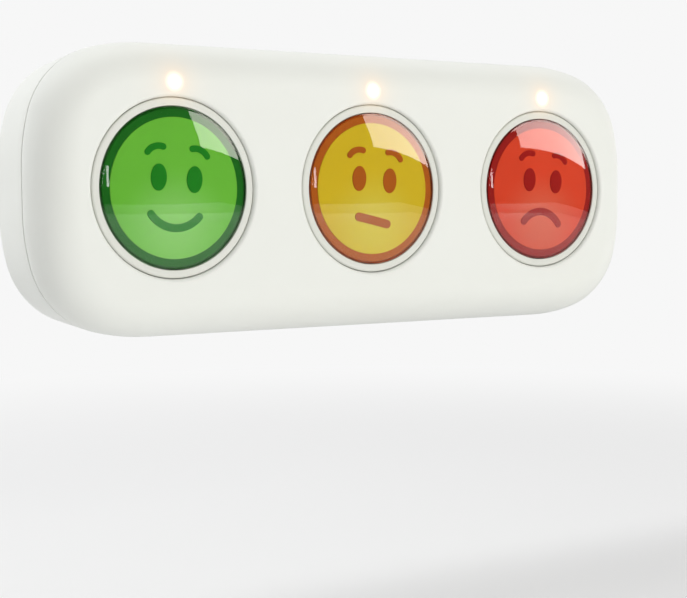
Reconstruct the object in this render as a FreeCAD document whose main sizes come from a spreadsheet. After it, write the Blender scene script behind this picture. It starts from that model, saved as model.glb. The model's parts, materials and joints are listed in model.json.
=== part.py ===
"""Wall-held customer feedback terminal with three round push buttons.

Millimetres, +Z up, front towards -Y. The origin is the centre of the wall plate's rear face, so the
wall is the plane Y = 0, and "out" in the names below is a distance from the wall, towards the front.
"""
import FreeCAD, Part
import math
import os
import re
import Sketcher

Vector = FreeCAD.Vector
doc = FreeCAD.newDocument("feedback_terminal")

# Driving dimensions: one row of the sheet each, as alias, value and meaning
SIZES = [
    ("overrun", 1.0, "how far a cut starts or ends outside the material"),
    ("sink", 0.2, "how far an added boss or box starts inside the wall"),
    ("half_width", 153.0, "half the length of the case"),
    ("half_height", 59.1, "half the height of the case"),
    ("long_radius", 84.7, "outer arcs of each corner, next to the straight sides"),
    ("tight_radius", 36.6, "middle arc of each corner"),
    ("long_turn", 15.0, "degrees that each outer arc turns"),
    ("face_out", 49.9, "front face from the wall"),
    ("edge_radius", 16.9, "rounding of the front edge, down to the seam"),
    ("wall", 2.8, "shell thickness"),
    ("seam_out", 32.5, "middle of the parting line from the wall"),
    ("seam_half", 0.25, "half the gap of the parting line"),
    ("rear_out", 0.4, "rear rim from the wall"),
    ("rear_taper", 2.4, "how far the rear shell draws in by its rim"),
    ("rear_edge", 2.2, "rounding of the rear rim"),
    ("lap_inset", 1.45, "step of the lap joint, in from the outside"),
    ("lap_gap", 0.15, "clearance of the lap joint"),
    ("lap_rise", 2.3, "how far the rear shell's tongue stands past the seam"),
    ("tongue_root", 0.5, "how far the tongue starts inside the rear rim"),
    ("seal_low", 0.55, "seal in the seam, outer edge in from the outside"),
    ("seal_high", 1.4, "seal in the seam, inner edge"),
    ("pitch", 95.5, "button to button"),
    ("row_rise", 0.6, "button centres above the middle of the case"),
    ("groove_out", 49.0, "flat front of the collars and base of the domes"),
    ("hole_radius", 36.15, "button hole in the front"),
    ("hole_lip", 1.6, "rounded lip of the button hole"),
    ("ledge_out", 45.4, "ledge in the hole that the collar sits on"),
    ("seat_gap", 0.05, "gap where one ring sits on another"),
    ("ledge_radius", 34.7, "bore behind the ledge"),
    ("tube_radius", 38.8, "tube round the bore, outside"),
    ("tube_out", 41.2, "rear end of the tube"),
    ("collar_radius", 35.85, "collar, outside"),
    ("collar_edge", 0.9, "rounded edges of the collar"),
    ("collar_bore", 32.6, "collar, inside"),
    ("sleeve_radius", 34.5, "threaded sleeve of the collar"),
    ("sleeve_out", 36.6, "rear end of the sleeve"),
    ("web_out", 38.4, "front of the web that guides the stem"),
    ("guide_bore", 5.06, "bore in the web for the stem"),
    ("window_radius", 6.5, "openings in the web"),
    ("window_ring", 20.4, "openings in the web, from the button's axis"),
    ("thread_gap", 0.05, "gap between the ring nut and the sleeve"),
    ("nut_radius", 38.4, "ring nut, outside"),
    ("nut_out", 37.4, "rear face of the ring nut"),
    ("notch_radius", 2.0, "notches for the ring nut's key"),
    ("notch_depth", 1.2, "notches for the ring nut's key"),
    ("dome_radius", 32.3, "dome at its rim"),
    ("dome_rise", 5.0, "top of the dome above its rim"),
    ("dome_wall", 1.8, "thickness of the dome"),
    ("skirt_wall", 0.7, "thickness of the skirt under the dome's rim"),
    ("rim_thick", 0.4, "thickness of the dome at its rim"),
    ("skirt_out", 46.9, "rear end of the skirt"),
    ("disc_radius", 28.05, "light face disc"),
    ("disc_thick", 1.0, "face disc"),
    ("disc_out", 48.6, "front of the face disc"),
    ("mark_thick", 0.25, "raised face marks"),
    ("ring_out", 48.35, "dark ring round the disc"),
    ("head_radius", 31.45, "head of the plunger"),
    ("head_base_out", 46.0, "rear of the plunger's head"),
    ("stem_radius", 5.0, "stem of the plunger"),
    ("stem_out", 34.0, "rear end of the stem at rest"),
    ("clip_out", 36.4, "front of the clip that stops the plunger"),
    ("clip_thick", 0.8, "stem clip"),
    ("clip_radius", 7.2, "stem clip, outside"),
    ("clip_seat", 4.3, "groove in the stem"),
    ("clip_mouth", 4.3, "half the width of the clip's mouth"),
    ("clip_mouth_top", 3.7, "upper end of the clip's mouth, below the axis"),
    ("coil_turns", 3.5, "turns of the return spring"),
    ("coil_gap", 0.05, "gap at each end of the return spring"),
    ("coil_radius", 8.5, "middle of the return spring's wire"),
    ("wire_radius", 0.45, "return spring wire"),
    ("board_out", 22.4, "front of the circuit board"),
    ("board_thick", 1.6, "circuit board"),
    ("board_half_width", 124.0, "half the board's length"),
    ("board_half_height", 45.6, "half the board's height"),
    ("board_corner", 5.0, "corners of the board"),
    ("board_gap", 1.0, "board round a boss"),
    ("board_hole_gap", 0.15, "board round a screw"),
    ("lamp_half_width", 1.6, "indicator lamp"),
    ("lamp_half_height", 1.4, "indicator lamp"),
    ("lamp_out", 24.0, "front of an indicator lamp"),
    ("light_rise", 42.6, "indicator above the middle of the case"),
    ("pipe_radius", 2.6, "light pipe"),
    ("pipe_gap", 0.1, "gap round a light pipe and at its front end"),
    ("foot_flange", 0.6, "foot of a light pipe, wider than its rod by"),
    ("foot_height", 1.5, "foot of a light pipe"),
    ("pipe_out", 48.8, "front end of the light pipe"),
    ("pipe_base_out", 24.6, "rear end of the light pipe"),
    ("case_screw_span", 47.75, "case screws between the buttons, from the middle"),
    ("case_screw_rise", 47.5, "case screws above and below the middle"),
    ("end_screw_span", 141.0, "case screws at the ends, from the middle"),
    ("end_screw_rise", 13.0, "case screws at the ends, above and below"),
    ("boss_radius", 3.4, "screw boss of the front shell"),
    ("rear_boss_radius", 5.0, "screw boss of the rear shell"),
    ("boss_out", 14.0, "where the bosses of the two shells meet"),
    ("boss_gap", 0.1, "gap between the bosses"),
    ("boss_top_out", 47.2, "front end of a boss, inside the skin"),
    ("pilot_top_out", 40.0, "blind end of a pilot hole"),
    ("pilot_radius", 1.3, "pilot hole of a screw"),
    ("screw_radius", 1.25, "screw shank"),
    ("screw_head", 2.7, "screw head radius"),
    ("head_gap", 0.4, "counterbore round a screw head"),
    ("shank_gap", 0.35, "clearance hole round a screw"),
    ("head_seat", 8.0, "seat of a case screw's head, from the wall"),
    ("head_height", 2.4, "head of a case screw"),
    ("case_screw_tip", 26.0, "tip of a case screw, from the wall"),
    ("board_head_height", 1.9, "head of a board screw"),
    ("board_screw_tip", 30.0, "tip of a board screw, from the wall"),
    ("recess_half_length", 1.2, "slot in a screw head"),
    ("recess_half_width", 0.35, "slot in a screw head"),
    ("recess_depth", 1.0, "slot in a screw head"),
    ("board_screw_rise", 22.0, "board screws above and below the middle"),
    ("plate_half_width", 46.0, "wall plate"),
    ("plate_half_height", 30.0, "wall plate"),
    ("plate_thick", 4.0, "wall plate"),
    ("plate_corner", 6.0, "wall plate corners"),
    ("fixing_span", 36.0, "wall screw holes, from the middle"),
    ("fixing_rise", 20.0, "wall screw holes, above and below"),
    ("fixing_radius", 2.3, "wall screw holes, clearance for a 4 mm screw"),
    ("hook_span", 22.0, "hooks from the middle"),
    ("hook_half_width", 4.5, "half the width of a hook"),
    ("hook_low", 3.0, "underside of a hook, below the middle"),
    ("hook_high", 1.0, "top of a hook's neck, above the middle"),
    ("lip_high", 6.0, "top of a hook's lip, above the middle"),
    ("lip_gap", 0.3, "room between the lip and the floor that hangs on the hook"),
    ("lip_thick", 2.4, "lip of a hook"),
    ("lip_root", 0.5, "how far a hook's neck starts inside the plate"),
    ("slot_gap", 0.5, "slot in the floor, wider than a hook on each side by"),
    ("slot_low", 14.5, "lower end of the slot, below the middle"),
    ("slot_high", 1.15, "upper end of the slot, above the middle"),
    ("well_gap", 1.5, "well beside the wall plate"),
    ("well_head", 1.0, "well above the wall plate"),
    ("well_foot", 11.0, "well below the wall plate, for the lift"),
    ("well_wall", 2.0, "wall of the well"),
    ("well_floor_out", 8.1, "rear face of the well's floor"),
    ("well_floor_thick", 2.6, "floor that hangs on the hooks"),
    ("bay_low", 66.0, "battery bay, near end"),
    ("bay_high", 124.0, "battery bay, far end"),
    ("bay_half_height", 23.4, "battery bay"),
    ("bay_out", 18.0, "front of the battery bay"),
    ("bay_wall", 1.8, "battery bay wall"),
    ("door_margin", 2.6, "seat of the battery door round the bay"),
    ("door_thick", 1.9, "battery door"),
    ("door_gap", 0.1, "gap in front of the battery door"),
    ("door_slack", 0.2, "gap round the battery door"),
    ("door_corner", 1.5, "corners of the battery door"),
    ("grip_length", 8.0, "finger pocket of the battery door"),
    ("grip_half_height", 8.0, "finger pocket of the battery door"),
    ("grip_depth", 0.9, "finger pocket of the battery door"),
    ("contact_gap", 0.1, "battery contact from the bay's end"),
    ("contact_thick", 0.4, "battery contact"),
    ("contact_half_height", 5.0, "battery contact"),
    ("contact_low_out", 4.0, "rear edge of a contact"),
    ("contact_high_out", 16.0, "front edge of a contact"),
    ("cell_pitch", 15.5, "cell to cell"),
    ("cell_out", 10.2, "axis of the cells, from the wall"),
    ("nub_radius", 2.7, "nub of a cell"),
    ("nub_length", 1.4, "nub of a cell"),
    ("nub_root", 0.2, "how far the nub starts inside the can"),
    ("cell_radius", 7.25, "battery cell"),
    ("cell_length", 50.5, "battery cell with its nub"),
    ("pad_gap", 0.1, "seat round a pad"),
    ("pad_radius", 5.0, "rubber wall pad"),
    ("pad_thick", 1.2, "rubber wall pad"),
    ("pad_span", 106.0, "wall pads from the middle"),
    ("pad_rise", 43.0, "wall pads above and below the middle"),
    ("lever_arm", 14.67, "switch lever from its pivot to its tip"),
    ("lever_rise", 17.4, "degrees that the lever stands open at rest"),
    ("pivot_side", 14.0, "switch pivot beside the button's axis"),
    ("pivot_out", 28.8, "switch pivot from the wall"),
    ("pin_radius", 0.5, "switch pivot pin"),
    ("pin_half_length", 2.4, "switch pivot pin"),
    ("switch_back", 1.6, "switch body beyond its pivot"),
    ("switch_length", 12.8, "switch body"),
    ("switch_half_height", 2.9, "switch body"),
    ("switch_out", 27.6, "front of the switch body"),
    ("ear_half_width", 1.0, "ears that hold the pivot pin"),
    ("ear_inner", 2.2, "inner face of an ear, from the middle of the switch"),
    ("knob_side", 6.0, "switch knob from the pivot"),
    ("knob_radius", 0.9, "switch knob"),
    ("knob_out", 28.3, "front of the switch knob"),
    ("knob_root_out", 27.0, "rear end of the ears and the knob, inside the body"),
    ("lever_thick", 0.5, "switch lever"),
    ("lever_half_height", 2.0, "switch lever"),
    ("knuckle_radius", 1.0, "switch lever round its pin"),
    ("tip_radius", 0.7, "rounded tip of the switch lever"),
    ("lever_gap", 0.05, "bore of the lever round its pin"),
    ("face_turn", 3.4, "degrees that the face is turned clockwise"),
    ("face_shift", 0.45, "face marks to the right of the button's axis"),
    ("eye_span", 7.85, "eye from the middle of the face"),
    ("eye_rise", 3.85, "eyes above the middle"),
    ("eye_half_width", 3.45, "eye"),
    ("eye_half_height", 5.3, "eye"),
    ("smile_stroke", 3.15, "width of the happy mouth"),
    ("flat_stroke", 3.7, "width of the neutral mouth"),
    ("frown_stroke", 3.4, "width of the unhappy mouth"),
    ("brow_stroke", 2.6, "width of a brow"),
]
sheet = doc.addObject("Spreadsheet::Sheet", "Sizes")
SIZE = {}
for row, (alias, number, meaning) in enumerate(SIZES, start=1):
    sheet.set("A%d" % row, alias)
    sheet.set("B%d" % row, str(number))
    sheet.set("C%d" % row, meaning)
    sheet.setAlias("B%d" % row, alias)
    SIZE[alias] = number
doc.recompute()

BUTTONS = [("happy", "-pitch"), ("neutral", "0"), ("unhappy", "pitch")]
PARTS = []


def amount(text):
    """Value of a sum of sizes, such as 'face_out - 2 * wall', which may hold sums in brackets."""
    text = str(text)
    while "(" in text:
        inner = re.search(r"\(([^()]*)\)", text)
        text = text[:inner.start()] + "%.9f" % amount(inner.group(1)) + text[inner.end():]
    text = text.replace(" ", "").replace("--", "+").replace("+-", "-")
    total = 0.0
    sign = 1.0
    for term in re.findall(r"[+-]|[^+-]+", text):
        if term in "+-":
            sign = 1.0 if term == "+" else -1.0
            continue
        product = 1.0
        for factor in term.split("*"):
            product *= SIZE[factor] if factor in SIZE else float(factor)
        total += sign * product
        sign = 1.0
    return total


def linked(text):
    """The same sum written as an expression on the sheet."""
    return re.sub(r"[a-z][a-z_]*", r"Sizes.\g<0>", str(text))


def bind(thing, **sums):
    """Bind properties to sums of sizes. A double underscore in a name stands for a dot."""
    for name, text in sums.items():
        thing.setExpression(name.replace("__", "."), linked(text))


def keep(thing, node):
    """Name a finished piece, which is then written as one node."""
    thing.Label = node
    PARTS.append(thing)
    return thing


# Plain solids
def box(name, x_low, x_high, z_low, z_high, out_low, out_high):
    """Block between two sums in each direction."""
    thing = doc.addObject("Part::Box", name)
    bind(thing, Length="(%s) - (%s)" % (x_high, x_low), Height="(%s) - (%s)" % (z_high, z_low))
    bind(thing, Width="(%s) - (%s)" % (out_high, out_low))
    bind(thing, Placement__Base__x=x_low, Placement__Base__y="-(%s)" % out_high, Placement__Base__z=z_low)
    return thing


def rod(name, x, z, radius, out_low, out_high):
    """Cylinder that points away from the wall."""
    thing = doc.addObject("Part::Cylinder", name)
    thing.Placement = FreeCAD.Placement(Vector(0, 0, 0), FreeCAD.Rotation(Vector(1, 0, 0), 90))
    bind(thing, Radius=radius, Height="(%s) - (%s)" % (out_high, out_low))
    bind(thing, Placement__Base__x=x, Placement__Base__y="-(%s)" % out_low, Placement__Base__z=z)
    return thing


def fuse(name, things):
    """Union of several solids."""
    whole = doc.addObject("Part::MultiFuse", name)
    whole.Shapes = things
    return whole


def group(name, things):
    """Separate solids kept together as one node."""
    whole = doc.addObject("Part::Compound", name)
    whole.Links = things
    return whole


def cut(name, base, tool):
    """Base with the tool taken out of it."""
    result = doc.addObject("Part::Cut", name)
    result.Base = base
    result.Tool = tool
    return result


# Bodies, sketches and features
def new_body(name):
    """Empty body that takes sketches and features."""
    return doc.addObject("PartDesign::Body", name)


def new_sketch(body, name, role, out="0"):
    """Sketch on one of the body's own planes. On XZ_Plane it stands off from the wall by out."""
    sketch = body.newObject("Sketcher::SketchObject", name)
    plane = [item for item in body.Origin.OriginFeatures if item.Role == role][0]
    sketch.AttachmentSupport = (plane, [""])
    sketch.MapMode = "FlatFace"
    bind(sketch, AttachmentOffset__Base__z=out)
    return sketch


def pin_down(sketch, geometry, point, x, y):
    """Fix one point of a sketch at two sums."""
    for kind, text in (("DistanceX", x), ("DistanceY", y)):
        index = sketch.addConstraint(Sketcher.Constraint(kind, -1, 1, geometry, point, amount(text)))
        sketch.setExpression("Constraints[%d]" % index, linked(text))


def set_radius(sketch, geometry, radius):
    """Fix the radius of a circle or arc."""
    index = sketch.addConstraint(Sketcher.Constraint("Radius", geometry, amount(radius)))
    sketch.setExpression("Constraints[%d]" % index, linked(radius))


def ring(sketch, x, y, radius):
    """Circle at two sums."""
    circle = Part.Circle(Vector(amount(x), amount(y), 0), Vector(0, 0, 1), amount(radius))
    index = sketch.addGeometry(circle, False)
    pin_down(sketch, index, 3, x, y)
    set_radius(sketch, index, radius)


def polygon(sketch, corners):
    """Closed outline. A corner marked 'dome' starts an arc centred on the vertical axis."""
    first = sketch.GeometryCount
    count = len(corners)
    ends = []
    for number, corner in enumerate(corners):
        following = corners[(number + 1) % count]
        start = Vector(amount(corner[0]), amount(corner[1]), 0)
        stop = Vector(amount(following[0]), amount(following[1]), 0)
        if len(corner) == 2:
            sketch.addGeometry(Part.LineSegment(start, stop), False)
            ends.append((1, 2))
            continue
        height = (stop.Length ** 2 - start.Length ** 2) / (2 * (stop.y - start.y))
        centre = Vector(0, height, 0)
        angles = [math.atan2(point.y - height, point.x) for point in (start, stop)]
        turn = (angles[1] - angles[0] + math.pi) % (2 * math.pi) - math.pi
        circle = Part.Circle(centre, Vector(0, 0, 1), (start - centre).Length)
        if turn > 0:
            sketch.addGeometry(Part.ArcOfCircle(circle, angles[0], angles[0] + turn), False)
            ends.append((1, 2))
        else:
            sketch.addGeometry(Part.ArcOfCircle(circle, angles[1], angles[1] - turn), False)
            ends.append((2, 1))
        sketch.addConstraint(Sketcher.Constraint("PointOnObject", first + number, 3, -2))
    for number in range(count):
        after = (number + 1) % count
        joint = (first + number, ends[number][1], first + after, ends[after][0])
        sketch.addConstraint(Sketcher.Constraint("Coincident", *joint))
        pin_down(sketch, first + number, ends[number][0], corners[number][0], corners[number][1])


def round_edges(body, feature, radius, test):
    """Fillet the edges of a feature whose box passes a test."""
    doc.recompute()
    names = ["Edge%d" % (n + 1) for n, edge in enumerate(feature.Shape.Edges) if test(edge.BoundBox)]
    fillet = body.newObject("PartDesign::Fillet", feature.Name + "_round")
    fillet.Base = (feature, names)
    bind(fillet, Radius=radius)
    doc.recompute()
    return fillet


def at_out(out, least=0.0):
    """Test for edges that lie flat at one distance from the wall and are at least so large."""
    place = -amount(out)
    return lambda b: abs(b.YMin - place) < 0.01 and abs(b.YMax - place) < 0.01 and b.DiagonalLength > least


def rectangle(sketch, x_low, x_high, y_low, y_high):
    """Rectangle between two sums each way."""
    polygon(sketch, [(x_low, y_low), (x_high, y_low), (x_high, y_high), (x_low, y_high)])


def case_outline(sketch, inset):
    """Outline of the case, drawn in by a sum: straight sides joined by corners of three arcs.

    Each quarter is a tight arc between two long ones, so the corner bends gently at both ends.
    """
    turn = math.radians(SIZE["long_turn"])
    long_radius = SIZE["long_radius"] - amount(inset)
    tight_radius = SIZE["tight_radius"] - amount(inset)
    across = SIZE["half_width"] - amount(inset)
    up = SIZE["half_height"] - amount(inset)
    gap = SIZE["long_radius"] - SIZE["tight_radius"]
    reach = long_radius * (math.sin(turn) + 1 - math.cos(turn))
    reach += tight_radius * (math.cos(turn) - math.sin(turn))
    arcs = []
    for quarter, (right, top) in enumerate(((1, 1), (-1, 1), (-1, -1), (1, -1))):
        side = Vector(right * (across - long_radius), top * (up - reach), 0)
        upper = Vector(right * (across - reach), top * (up - long_radius), 0)
        middle = upper + Vector(right * gap * math.sin(turn), top * gap * math.cos(turn), 0)
        ordered = (side, middle, upper) if right * top > 0 else (upper, middle, side)
        angle = quarter * math.pi / 2
        sweeps = (turn, math.pi / 2 - 2 * turn, turn)
        for centre, sweep, radius in zip(ordered, sweeps, (long_radius, tight_radius, long_radius)):
            circle = Part.Circle(centre, Vector(0, 0, 1), radius)
            arcs.append(Part.ArcOfCircle(circle, angle, angle + sweep))
            angle += sweep
    order = []
    for quarter in range(4):
        order += [sketch.addGeometry(arc, False) for arc in arcs[3 * quarter:3 * quarter + 3]]
        start = arcs[3 * quarter + 2].EndPoint
        stop = arcs[(3 * quarter + 3) % 12].StartPoint
        order.append(sketch.addGeometry(Part.LineSegment(start, stop), False))
    for place, index in enumerate(order):
        sketch.addConstraint(Sketcher.Constraint("Tangent", index, 2, order[(place + 1) % 16], 1))
    sides = [("Horizontal", "DistanceY", "half_height - (%s)"), ("Vertical", "DistanceX", "(%s) - half_width")]
    sides += [("Horizontal", "DistanceY", "(%s) - half_height"), ("Vertical", "DistanceX", "half_width - (%s)")]
    for quarter, (along, direction, text) in enumerate(sides):
        first = 4 * quarter
        set_radius(sketch, order[first], "long_radius - (%s)" % inset)
        set_radius(sketch, order[first + 1], "tight_radius - (%s)" % inset)
        set_radius(sketch, order[first + 2], "long_radius - (%s)" % inset)
        for arc in (order[first], order[first + 2]):
            index = sketch.addConstraint(Sketcher.Constraint("Angle", arc, turn))
            sketch.setExpression("Constraints[%d]" % index, "Sizes.long_turn * 1 deg")
        line = order[first + 3]
        sketch.addConstraint(Sketcher.Constraint(along, line))
        number = amount(text.replace("(%s)", str(amount(inset))))
        index = sketch.addConstraint(Sketcher.Constraint(direction, -1, 1, line, 1, number))
        sketch.setExpression("Constraints[%d]" % index, linked(text % inset))


def pad(body, sketch, length):
    """Raise a sketch away from the wall."""
    feature = body.newObject("PartDesign::Pad", sketch.Name + "_pad")
    feature.Profile = sketch
    bind(feature, Length=length)
    return feature


def pocket(body, sketch, depth, outwards=False):
    """Cut a sketch in towards the wall, or outwards."""
    feature = body.newObject("PartDesign::Pocket", sketch.Name + "_pocket")
    feature.Profile = sketch
    feature.Reversed = outwards
    bind(feature, Length=depth)
    return feature


def turned(name, node, corners, x="0"):
    """Piece turned about a button's axis from a half profile of (radius, out) corners."""
    body = new_body(name)
    sketch = new_sketch(body, name + "_profile", "XY_Plane")
    polygon(sketch, [(corner[0], "-(%s)" % corner[1]) + tuple(corner[2:]) for corner in corners])
    feature = body.newObject("PartDesign::Revolution", name + "_turn")
    feature.Profile = sketch
    feature.ReferenceAxis = (sketch, ["V_Axis"])
    bind(body, Placement__Base__x=x, Placement__Base__z="row_rise")
    if node:
        keep(body, node)
    return body


# Shells of the case
def four(x, z):
    """The four places at plus and minus two sizes."""
    return [(across, up) for across in ("-" + x, x) for up in ("-" + z, z)]


CASE_SCREWS = four("case_screw_span", "case_screw_rise") + four("end_screw_span", "end_screw_rise")
BOARD_SCREWS = four("case_screw_span", "board_screw_rise")


def circles(body, name, out, places, radius):
    """Sketch of equal circles, at a distance from the wall."""
    sketch = new_sketch(body, name, "XZ_Plane", out)
    for x, z in places:
        ring(sketch, x, z, radius)
    return sketch


def front_shell():
    """Front moulding: rounded all the way to the seam, with three button holes and screw bosses."""
    body = new_body("front")
    rows = [(x, "row_rise") for node, x in BUTTONS]
    rim = "seam_out + seam_half"
    outline = new_sketch(body, "front_outline", "XZ_Plane", rim)
    case_outline(outline, "0")
    block = pad(body, outline, "face_out - seam_out - seam_half")
    round_edges(body, block, "edge_radius", at_out("face_out"))
    core = new_body("front_core")
    hollow = new_sketch(core, "front_hollow", "XZ_Plane", rim)
    case_outline(hollow, "wall")
    room = pad(core, hollow, "face_out - wall - seam_out - seam_half")
    round_edges(core, room, "edge_radius - wall", at_out("face_out - wall"))
    hollowed = body.newObject("PartDesign::Boolean", "front_room")
    hollowed.Type = "Cut"
    hollowed.addObjects([core])
    lap = new_sketch(body, "front_lap", "XZ_Plane", rim)
    case_outline(lap, "lap_inset")
    pocket(body, lap, "lap_rise", outwards=True)
    pad(body, circles(body, "front_tubes", "tube_out", rows, "tube_radius"), "boss_top_out - tube_out")
    pad(body, circles(body, "front_bosses", "boss_out", CASE_SCREWS, "boss_radius"), "boss_top_out - boss_out")
    stands = circles(body, "front_stands", "board_out", BOARD_SCREWS, "boss_radius")
    pad(body, stands, "boss_top_out - board_out")
    bores = circles(body, "front_bores", "tube_out", rows, "ledge_radius")
    pocket(body, bores, "face_out + overrun - tube_out", outwards=True)
    holes = circles(body, "front_holes", "ledge_out", rows, "hole_radius")
    opened = pocket(body, holes, "face_out + overrun - ledge_out", outwards=True)
    in_hole = 2.1 * SIZE["hole_radius"]
    round_edges(body, opened, "hole_lip", lambda b: at_out("face_out")(b) and b.ZLength < in_hole)
    places = [(x, "light_rise") for node, x in BUTTONS]
    lights = circles(body, "front_lights", "tube_out", places, "pipe_radius + pipe_gap")
    pocket(body, lights, "pipe_out + pipe_gap - tube_out", outwards=True)
    pilots = circles(body, "front_pilots", "boss_out", CASE_SCREWS, "pilot_radius")
    pocket(body, pilots, "pilot_top_out - boss_out", outwards=True)
    board_pilots = circles(body, "front_board_pilots", "board_out", BOARD_SCREWS, "pilot_radius")
    pocket(body, board_pilots, "pilot_top_out - board_out", outwards=True)
    keep(body, "front_shell")


def rear_shell():
    """Rear moulding: draws in towards the wall, and holds the plate well and the battery bay."""
    body = new_body("rear")
    rim = "seam_out - seam_half"

    def tapered(piece, name, inset, near, far):
        """Solid of the outline that draws in towards the wall by the same slope all round."""
        section = new_sketch(piece, name, "XZ_Plane", near)
        case_outline(section, inset)
        feature = pad(piece, section, "(%s) - (%s)" % (near, far))
        feature.Reversed = True
        slope = "-atan(Sizes.rear_taper / (Sizes.seam_out - Sizes.seam_half - Sizes.rear_out))"
        feature.setExpression("TaperAngle", slope)
        return feature

    block = tapered(body, "rear_outline", "0", rim, "rear_out")
    round_edges(body, block, "rear_edge", at_out("rear_out"))
    core = new_body("rear_core")
    tapered(core, "rear_hollow", "wall", rim, "rear_out + wall")
    hollowed = body.newObject("PartDesign::Boolean", "rear_room")
    hollowed.Type = "Cut"
    hollowed.addObjects([core])
    tongue = new_sketch(body, "rear_tongue", "XZ_Plane", rim + " - tongue_root")
    case_outline(tongue, "lap_inset + lap_gap")
    case_outline(tongue, "wall")
    pad(body, tongue, "tongue_root + lap_rise")
    inside = "rear_out + wall - sink"
    bosses = circles(body, "rear_bosses", inside, CASE_SCREWS, "rear_boss_radius")
    pad(body, bosses, "boss_out - boss_gap - (%s)" % inside)
    well = new_sketch(body, "rear_well", "XZ_Plane", inside)
    across = "plate_half_width + well_gap"
    low, high = "-plate_half_height - well_foot", "plate_half_height + well_head"
    outer = across + " + well_wall"
    rectangle(well, "-(%s)" % outer, outer, low + " - well_wall", high + " + well_wall")
    pad(body, well, "well_floor_out + well_floor_thick - (%s)" % inside)
    bay = new_sketch(body, "rear_bay", "XZ_Plane", inside)
    tall = "bay_half_height + bay_wall"
    rectangle(bay, "bay_low - bay_wall", "bay_high + bay_wall", "-(%s)" % tall, tall)
    pad(body, bay, "bay_out + bay_wall - (%s)" % inside)
    back = "rear_out - overrun"
    well_room = new_sketch(body, "rear_well_room", "XZ_Plane", back)
    rectangle(well_room, "-(%s)" % across, across, low, high)
    pocket(body, well_room, "well_floor_out - (%s)" % back, outwards=True)
    for side in ("-", ""):
        name = "rear_slot_left" if side else "rear_slot_right"
        slot = new_sketch(body, name, "XZ_Plane", "well_floor_out - overrun")
        near = side + "hook_span - hook_half_width - slot_gap"
        far = side + "hook_span + hook_half_width + slot_gap"
        rectangle(slot, near, far, "-slot_low", "slot_high")
        pocket(body, slot, "well_floor_thick + 2 * overrun", outwards=True)
    seat = new_sketch(body, "rear_door_seat", "XZ_Plane", back)
    edge = "bay_half_height + door_margin"
    rectangle(seat, "bay_low - door_margin", "bay_high + door_margin", "-(%s)" % edge, edge)
    pocket(body, seat, "rear_out + door_thick + door_gap - (%s)" % back, outwards=True)
    bay_room = new_sketch(body, "rear_bay_room", "XZ_Plane", back)
    rectangle(bay_room, "bay_low", "bay_high", "-bay_half_height", "bay_half_height")
    pocket(body, bay_room, "bay_out - (%s)" % back, outwards=True)
    heads = circles(body, "rear_heads", back, CASE_SCREWS, "screw_head + head_gap")
    pocket(body, heads, "head_seat - (%s)" % back, outwards=True)
    shanks = circles(body, "rear_clearance", back, CASE_SCREWS, "screw_radius + shank_gap")
    pocket(body, shanks, "boss_out + overrun - (%s)" % back, outwards=True)
    pads = four("pad_span", "pad_rise")
    seats = circles(body, "rear_pad_seats", back, pads, "pad_radius + pad_gap")
    pocket(body, seats, "pad_thick - (%s)" % back, outwards=True)
    keep(body, "rear_shell")
    discs = [rod("pad_%d" % number, x, z, "pad_radius", "0", "pad_thick") for number, (x, z) in enumerate(pads)]
    keep(group("pads", discs), "wall_pads")


def seam_seal():
    """Rubber seal in the parting line, set in from the outside so that the line shows as a shadow."""
    body = new_body("seal")
    sketch = new_sketch(body, "seal_outline", "XZ_Plane", "seam_out - seam_half")
    case_outline(sketch, "seal_low")
    case_outline(sketch, "seal_high")
    pad(body, sketch, "2 * seam_half")
    keep(body, "seam_seal")


# One button
WEB_WINDOWS = 6
KEY_NOTCHES = 8


def round_row(sketch, count, row_radius, radius):
    """Equal circles spread evenly on a larger one round the button's axis."""
    for number in range(count):
        angle = 2 * math.pi * number / count
        place = ["%.4f * %s" % (part, row_radius) for part in (math.cos(angle), math.sin(angle))]
        ring(sketch, place[0], place[1], radius)


def collar(node, x):
    """White collar that sits on the ledge of the hole, with a web that guides the plunger's stem."""
    flat = "groove_out"
    corners = [("guide_bore", "web_out"), ("guide_bore", "sleeve_out"), ("sleeve_radius", "sleeve_out")]
    corners += [("sleeve_radius", "ledge_out + seat_gap"), ("collar_radius", "ledge_out + seat_gap")]
    corners += [("collar_radius", flat), ("collar_bore", flat), ("collar_bore", "web_out")]
    body = turned("collar_" + node, None, corners, x)
    round_edges(body, body.Tip, "collar_edge", lambda b: at_out(flat)(b) and b.ZLength > SIZE["collar_bore"])
    windows = new_sketch(body, "collar_windows_" + node, "XZ_Plane", "sleeve_out - overrun")
    round_row(windows, WEB_WINDOWS, "window_ring", "window_radius")
    pocket(body, windows, "web_out - sleeve_out + 2 * overrun", outwards=True)
    keep(body, "collar_" + node)
    thread, front = "sleeve_radius + thread_gap", "tube_out - seat_gap"
    nut = [(thread, front), (thread, "nut_out"), ("nut_radius", "nut_out"), ("nut_radius", front)]
    body = turned("ring_nut_" + node, None, nut, x)
    notches = new_sketch(body, "notches_" + node, "XZ_Plane", "nut_out - overrun")
    round_row(notches, KEY_NOTCHES, "nut_radius", "notch_radius")
    pocket(body, notches, "notch_depth + overrun", outwards=True)
    keep(body, "ring_nut_" + node)


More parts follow.
